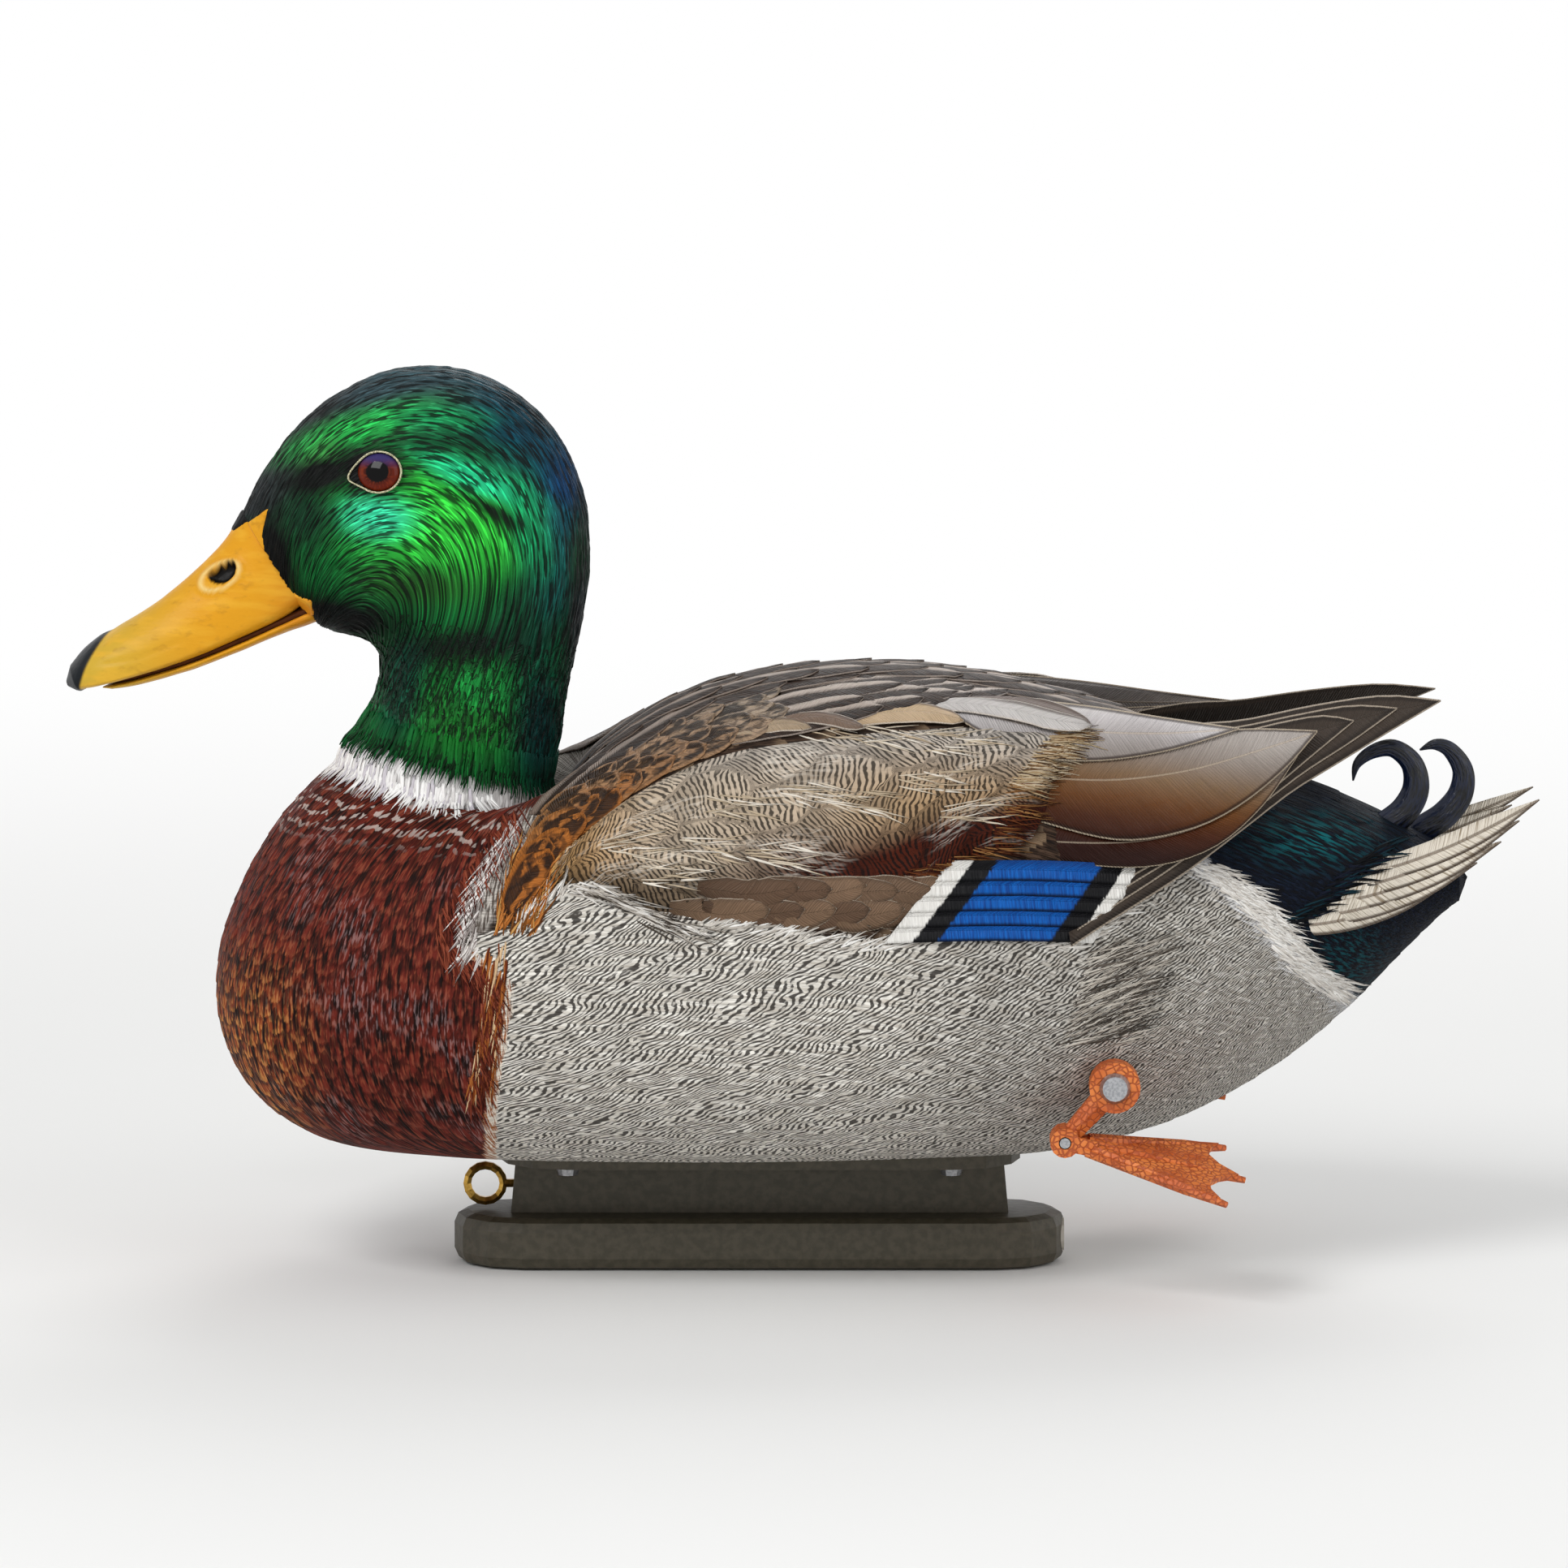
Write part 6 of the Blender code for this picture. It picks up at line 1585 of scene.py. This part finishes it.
def make_eyes(seat):
    """The glass eyes and their lids, where the solids' eyes sit."""
    lo, hi = (np.array(c) * 1000 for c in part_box("eye_left"))
    centre = (lo + hi) / 2
    foot = np.array((centre[0], -seat.reach(centre[0], centre[2]), centre[2]))
    normal = seat.near(foot)[1]
    normal = normal if normal[1] < 0 else -normal
    east = unit(np.cross((0, 0, 1.0), normal))
    north = np.cross(normal, east)
    make_eye_balls(foot, normal, east, north)
    make_eye_lids(foot, normal, east, north)


def make_eye_balls(foot, normal, east, north):
    """Two flat domes, with each point's distance from the middle, and its place round it and up."""
    s = np.linspace(0, 0.5 * math.pi, EYE_ROWS)[:, None, None]
    t = circle(EYE_SIDES)[:, None]
    flat = east * np.sin(s) * np.cos(t) + north * np.sin(s) * np.sin(t) * EYE_HEIGHT
    ball = foot - normal + flat * EYE_RADIUS + normal * np.cos(s) * EYE_BULGE
    iris = triple(np.sin(s) * 1.06, np.cos(t), np.sin(s) * np.sin(t))
    faces = grid_faces(EYE_ROWS, EYE_SIDES, True)
    if np.dot(np.cross(ball[1, 0] - ball[0, 0], ball[1, 1] - ball[0, 0]), normal) < 0:
        faces = faces[:, ::-1]
    add_pair("eye_ball", ball, faces, eye_paint(), "head", {"iris": iris}, "eye", "eye")


def make_eye_lids(foot, normal, east, north):
    """The rims of the eyes, drawn out to a corner in front."""
    turn = circle(LID_STEPS)[:, None]
    tear = np.maximum(np.cos(turn) * -np.sign(east[0]), 0) ** 6
    round_x = EYE_RADIUS * (1.02 + 0.34 * tear) * np.cos(turn)
    round_y = EYE_RADIUS * 0.9 * np.sin(turn) - 1.6 * tear
    path = foot + normal * (0.5 - 0.35 * tear) + east * round_x + north * round_y
    ring = circle(LID_SIDES)[:, None]
    tube = path[:, None] + unit(path - foot)[:, None] * 0.3 * np.cos(ring) + normal * 0.5 * np.sin(ring)
    faces = grid_faces(LID_STEPS + 1, LID_SIDES, True) % (LID_STEPS * LID_SIDES)
    add_pair("eye_lid", tube, faces, lid_paint(), "head", {}, slot="eye")


# Heights over the middle of the neck ring, and how far its own barbs and the neck's stand out there
COLLAR_HOLD = ((-6, 31.2), (-3, 31.6), (0, 31.3), (3, 30.3), (5.2, 28.6))
NECK_HOLD = ((-6, 31.9), (-3, 32.2), (0, 31.9), (3, 30.9), (5.2, 29.2), (5.6, 0.0))
COLLAR_ROWS = 26
COLLAR_RADIUS = 31.0


def make_collar():
    """The white neck ring with its ragged lower edge."""
    h = np.linspace(0, 1, COLLAR_ROWS)[:, None]
    angles = circle(HEAD_SIDES)[None, :]
    round_mm = np.abs((angles + math.pi) % math.tau - math.pi) * COLLAR_RADIUS
    rag = noise(round_mm * 0.8, 0.5, 3) + 0.5 * noise(round_mm * 2.0, 0.5, 5)
    radius = 28.6 + 3.0 * np.sin(h * math.pi * 0.62) + 0.5 * (noise(round_mm * 1.1, h * 2, 6) - 0.5)
    ring = neck_ring(5.2 - h * (10.4 + 3.0 * (rag - 0.6)), radius, angles)
    values = {"flow": triple(h * 12, round_mm, 0.0)}
    add_mesh("neck_ring", ring, skin_faces(ring), collar_paint(), "body", values, "neck_collar", "collar")


def make_collar_fringe(seat):
    """White barbs from the neck ring down over the breast."""
    whites = [np.array(rgb(c)) for c in ("FBFAF8", "E4E1DF", "CFCAD0", "F4F2F0")]
    on_breast = neck_radius(seat)

    def hold(height, angle):
        return max(np.interp(height, *zip(*COLLAR_HOLD)), on_breast(height, angle))

    def tint(spots, own):
        return whites[int(own * 997) % len(whites)]

    ring_barbs("collar_fringe", "body", -1.0, -7.6, 560, tint, "collar", hold)


def make_neck_fringe(seat):
    """Green barbs from the neck down over the neck ring."""
    on_neck = neck_radius(seat)

    def hold(height, angle):
        return max(np.interp(height, *zip(*NECK_HOLD)), on_neck(height, angle) if height > 4.5 else 0.0)

    def tint(spots, own):
        return head_colour_and_sheen(spots)[:, None] * (0.1 + 1.3 * own * own)

    ring_barbs("neck_fringe", "head", 12.0, 2.2, 620, tint, "head", hold)


def ring_barbs(name, body, root, tip, count, tint, slot, hold):
    """Loose barbs all round the neck, between two heights, held to a radius and coloured by functions."""
    bundle = Bundle()
    t = np.linspace(0, 1, 7)
    across = np.array((-1.0, 0.0, 1.0))
    for n in range(count):
        own, other = hashed(n, count, 3), hashed(n, count, 4)
        angles = math.tau * (n + own) / count + (own - 0.5) * 0.16 * t
        start = root + (own - 0.5) * 5.0
        height = start + (tip + (other - 0.5) * 5.0 - start) * t
        radius = np.array([hold(h, a) for h, a in zip(height, angles)]) + 0.25 + 0.35 * np.sin(t * math.pi)
        spine = neck_ring(height, radius, angles)
        normal = unit(spine - neck_ring(height, 0 * radius, angles))
        side = unit(np.cross(np.gradient(spine, axis=0), normal))
        wide = hair_shape(t) * (0.4 + 0.35 * other)
        outer = spine[:, None] + side[:, None] * (wide[:, None] * across)[..., None]
        outer = outer + normal[:, None] * (0.12 * (1 - across**2))[:, None]
        inner = outer - normal[:, None] * 0.2
        bundle.add(outer, inner, triple(t[:, None], across, own), (8.0, 0.5, 0.0), tint(spine, own))
    bundle.make(add_mesh, name, hair_paint(f"{name}_barbs"), body, slot)


# Columns and rows in the picture with half widths in mm, and how far right of the middle each curl lies
FRONT_CURL = [
    (1660, 1040, 3.0), (1684, 1028, 3.6), (1708, 1016, 4.0), (1731, 998, 4.1), (1744, 971, 3.8),
    (1739, 941, 3.2), (1716, 922, 2.6), (1690, 926, 2.0), (1671, 941, 1.3), (1666, 962, 0.25),
]
REAR_CURL = [
    (1712, 1050, 3.0), (1735, 1034, 3.6), (1758, 1020, 3.9), (1782, 1004, 3.9), (1801, 979, 3.6),
    (1804, 949, 3.0), (1788, 924, 2.3), (1769, 917, 1.6), (1750, 924, 0.25),
]
CURLS = (("front", FRONT_CURL, -4.6), ("rear", REAR_CURL, 4.6))
CURL_ROWS = 70
CURL_SIDES = 28


def make_curls():
    """Two glossy black coverts, rolled forward over the tail, each a grooved ribbon drawn to a point."""
    paint = curl_paint()
    turn = circle(CURL_SIDES)
    groove = 1 + 0.06 * np.cos(turn * 7)
    for name, spots, y in CURLS:
        px, py, half = sampled(spots, CURL_ROWS).T
        x, z = from_pixels(px, py, -y)
        spine = triple(x, y, z)
        way = unit(np.gradient(spine, axis=0))
        side = triple(-way[:, 2], 0.0, way[:, 0])
        ring = spine[:, None] + side[:, None] * (half[:, None] * np.cos(turn) * groove)[..., None]
        ring[..., 1] += half[:, None] * 0.62 * np.sin(turn) * groove
        fea = triple(np.linspace(0, 1, CURL_ROWS)[:, None], np.cos(turn), 0.0)
        faces = grid_faces(CURL_ROWS, CURL_SIDES, True)
        add_mesh(f"curl_{name}", ring, faces, paint, "body", {"fea": fea}, f"tail_curl_{name}", "curl")


# Studio

WORLD_LIGHT = 0.44
LAMP_TARGET = Vector((0, 0, 0.12))
# Name, place and size in metres, power in watts
LAMPS = (
    ("key", (-1.1, -1.5, 1.7), 1.0, 30.0),
    ("fill", (1.4, -1.2, 0.9), 1.4, 9.0),
    ("rear", (0.4, 1.7, 1.4), 1.2, 14.0),
)
FLOOR_SIDES = 24
FLOOR_RADIUS = 6.0
LENS = 250.0
SENSOR = 36.0
CLIP_END = 50.0


def seen_rays(tree):
    """1 for the rays that show a backdrop: from the camera, or off or through something glossy."""
    path = tree.nodes.new("ShaderNodeLightPath")
    total = path.outputs["Is Camera Ray"]
    for name in ("Is Glossy Ray", "Is Transmission Ray"):
        node = tree.nodes.new("ShaderNodeMath")
        node.operation = "MAXIMUM"
        tree.links.new(total, node.inputs[0])
        tree.links.new(path.outputs[name], node.inputs[1])
        total = node.outputs[0]
    return total


def make_world():
    """A white backdrop that lights the part less than it shows."""
    world = bpy.data.worlds.new("studio")
    bpy.context.scene.world = world
    world.use_nodes = True
    tree = world.node_tree
    back = tree.nodes["Background"]
    strength = tree.nodes.new("ShaderNodeMapRange")
    tree.links.new(seen_rays(tree), strength.inputs["Value"])
    strength.inputs["To Min"].default_value = WORLD_LIGHT
    strength.inputs["To Max"].default_value = 1.0
    back.inputs["Color"].default_value = (1.0, 1.0, 1.0, 1.0)
    tree.links.new(strength.outputs[0], back.inputs["Strength"])


def aim(obj, target):
    """Turns a lamp or camera towards a point."""
    obj.rotation_euler = (target - obj.location).to_track_quat("-Z", "Y").to_euler()


def make_lamps():
    for name, place, size, power in LAMPS:
        lamp = bpy.data.lights.new(name, "AREA")
        lamp.size = size
        lamp.energy = power
        obj = link(name, lamp)
        obj.location = place
        aim(obj, LAMP_TARGET)


def floor_paint():
    """Off-white, fading into the backdrop far from the part."""
    p = Paint("floor", 0.8)
    x, y, _ = p.place()
    paint = p.done(p.mix(p.noise((x * 0.004, y * 0.004, 0.0), 2.0), "EDEDEC", "F1F1F0"))
    far = (x * x + y * y).root().step(450.0, 1400.0)
    lit, glow = Term(p, p.shader.outputs[0]), p.made("ShaderNodeEmission", {})
    fade = p.made("ShaderNodeMixShader", {0: far * Term(p, seen_rays(p.tree)), 1: lit, 2: glow})
    p.put(p.tree.nodes["Material Output"].inputs["Surface"], fade)
    return paint


def make_floor():
    mesh = bpy.data.meshes.new("floor")
    spots = [(FLOOR_RADIUS * math.cos(a), FLOOR_RADIUS * math.sin(a), 0.0) for a in circle(FLOOR_SIDES)]
    mesh.from_pydata(spots, [], [list(range(FLOOR_SIDES))])
    mesh.materials.append(floor_paint())
    floor = link("floor", mesh)


def make_camera():
    """A long lens that sees the photograph's frame."""
    lens = bpy.data.cameras.new("camera")
    lens.lens = LENS
    lens.sensor_width = SENSOR
    lens.clip_end = CLIP_END
    camera = link("camera", lens)
    distance = PIXELS * SCALE * MM * LENS / SENSOR
    x, z = from_pixels(PIXELS / 2, PIXELS / 2)
    target = Vector((x * MM, 0.0, z * MM))
    camera.location = target + Vector((0.0, -math.cos(VIEW_TIP), math.sin(VIEW_TIP))) * distance
    aim(camera, target)
    bpy.context.scene.camera = camera
    bpy.context.scene.view_settings.view_transform = "Standard"


def dress_solids():
    """Materials for the solids that show as they are, and for those inside."""
    paints = {
        "leg": leg_paint(),
        "keel": grained("keel_plastic", "4A4436", "3C3729", 0.55),
        "foam": grained("core_foam", "E0DACA", "CFC8B4", 0.9),
        "nylon": grained("nylon", "D6D1C6", "C8C2B6", 0.5),
        "steel": grained("zinc_steel", "B8B9BC", "9C9EA2", 0.35, 1.0, 1.5, 0.00005),
        "ballast": grained("ballast_iron", "6A6A6C", "4C4C4E", 0.7, 0.6),
        "brass": grained("brass", "C8A050", "B08A3E", 0.3, 1.0, 1.0, 0.00005),
    }
    for part in frame["record"]["subparts"]:
        paint = paints.get(part["material_slot"])
        if paint:
            for place in frame["nodes"][part["node"]].material_slots:
                place.material = paint


make_world()
make_lamps()
make_floor()
make_camera()
body = make_body()
seat = Seat(body)
panel = make_panel(seat)
on_wing = folded(seat, WING_FOLD)
tertials = make_tertials(on_wing)
make_primaries(on_wing)
make_speculum(on_wing)
tail_vanes = make_tail(folded(seat, TAIL_FOLD))
dressed = Seat(body, panel)
make_mantle(dressed)
make_spine(dressed)
over_wing = Seat(body, panel, *tertials)
make_pale_scapulars(over_wing)
make_coverts(dressed)
make_tufts(dressed)
make_fringe(dressed, "flank", "flank", FLANK_BARBS)
make_fringe(Seat(body, *tail_vanes), "rump", "rump", RUMP_BARBS)
make_fringe(dressed, "breast", "breast", BREAST_BARBS)
make_fringe(over_wing, "scapular", "wing", SCAPULAR_BARBS)
head_seat = Seat(make_head())
horn = bill_paint()
make_upper_bill(horn)
make_lower_bill(horn)
make_eyes(head_seat)
make_neck(head_seat)
make_collar()
make_collar_fringe(seat)
make_neck_fringe(head_seat)
make_curls()
dress_solids()
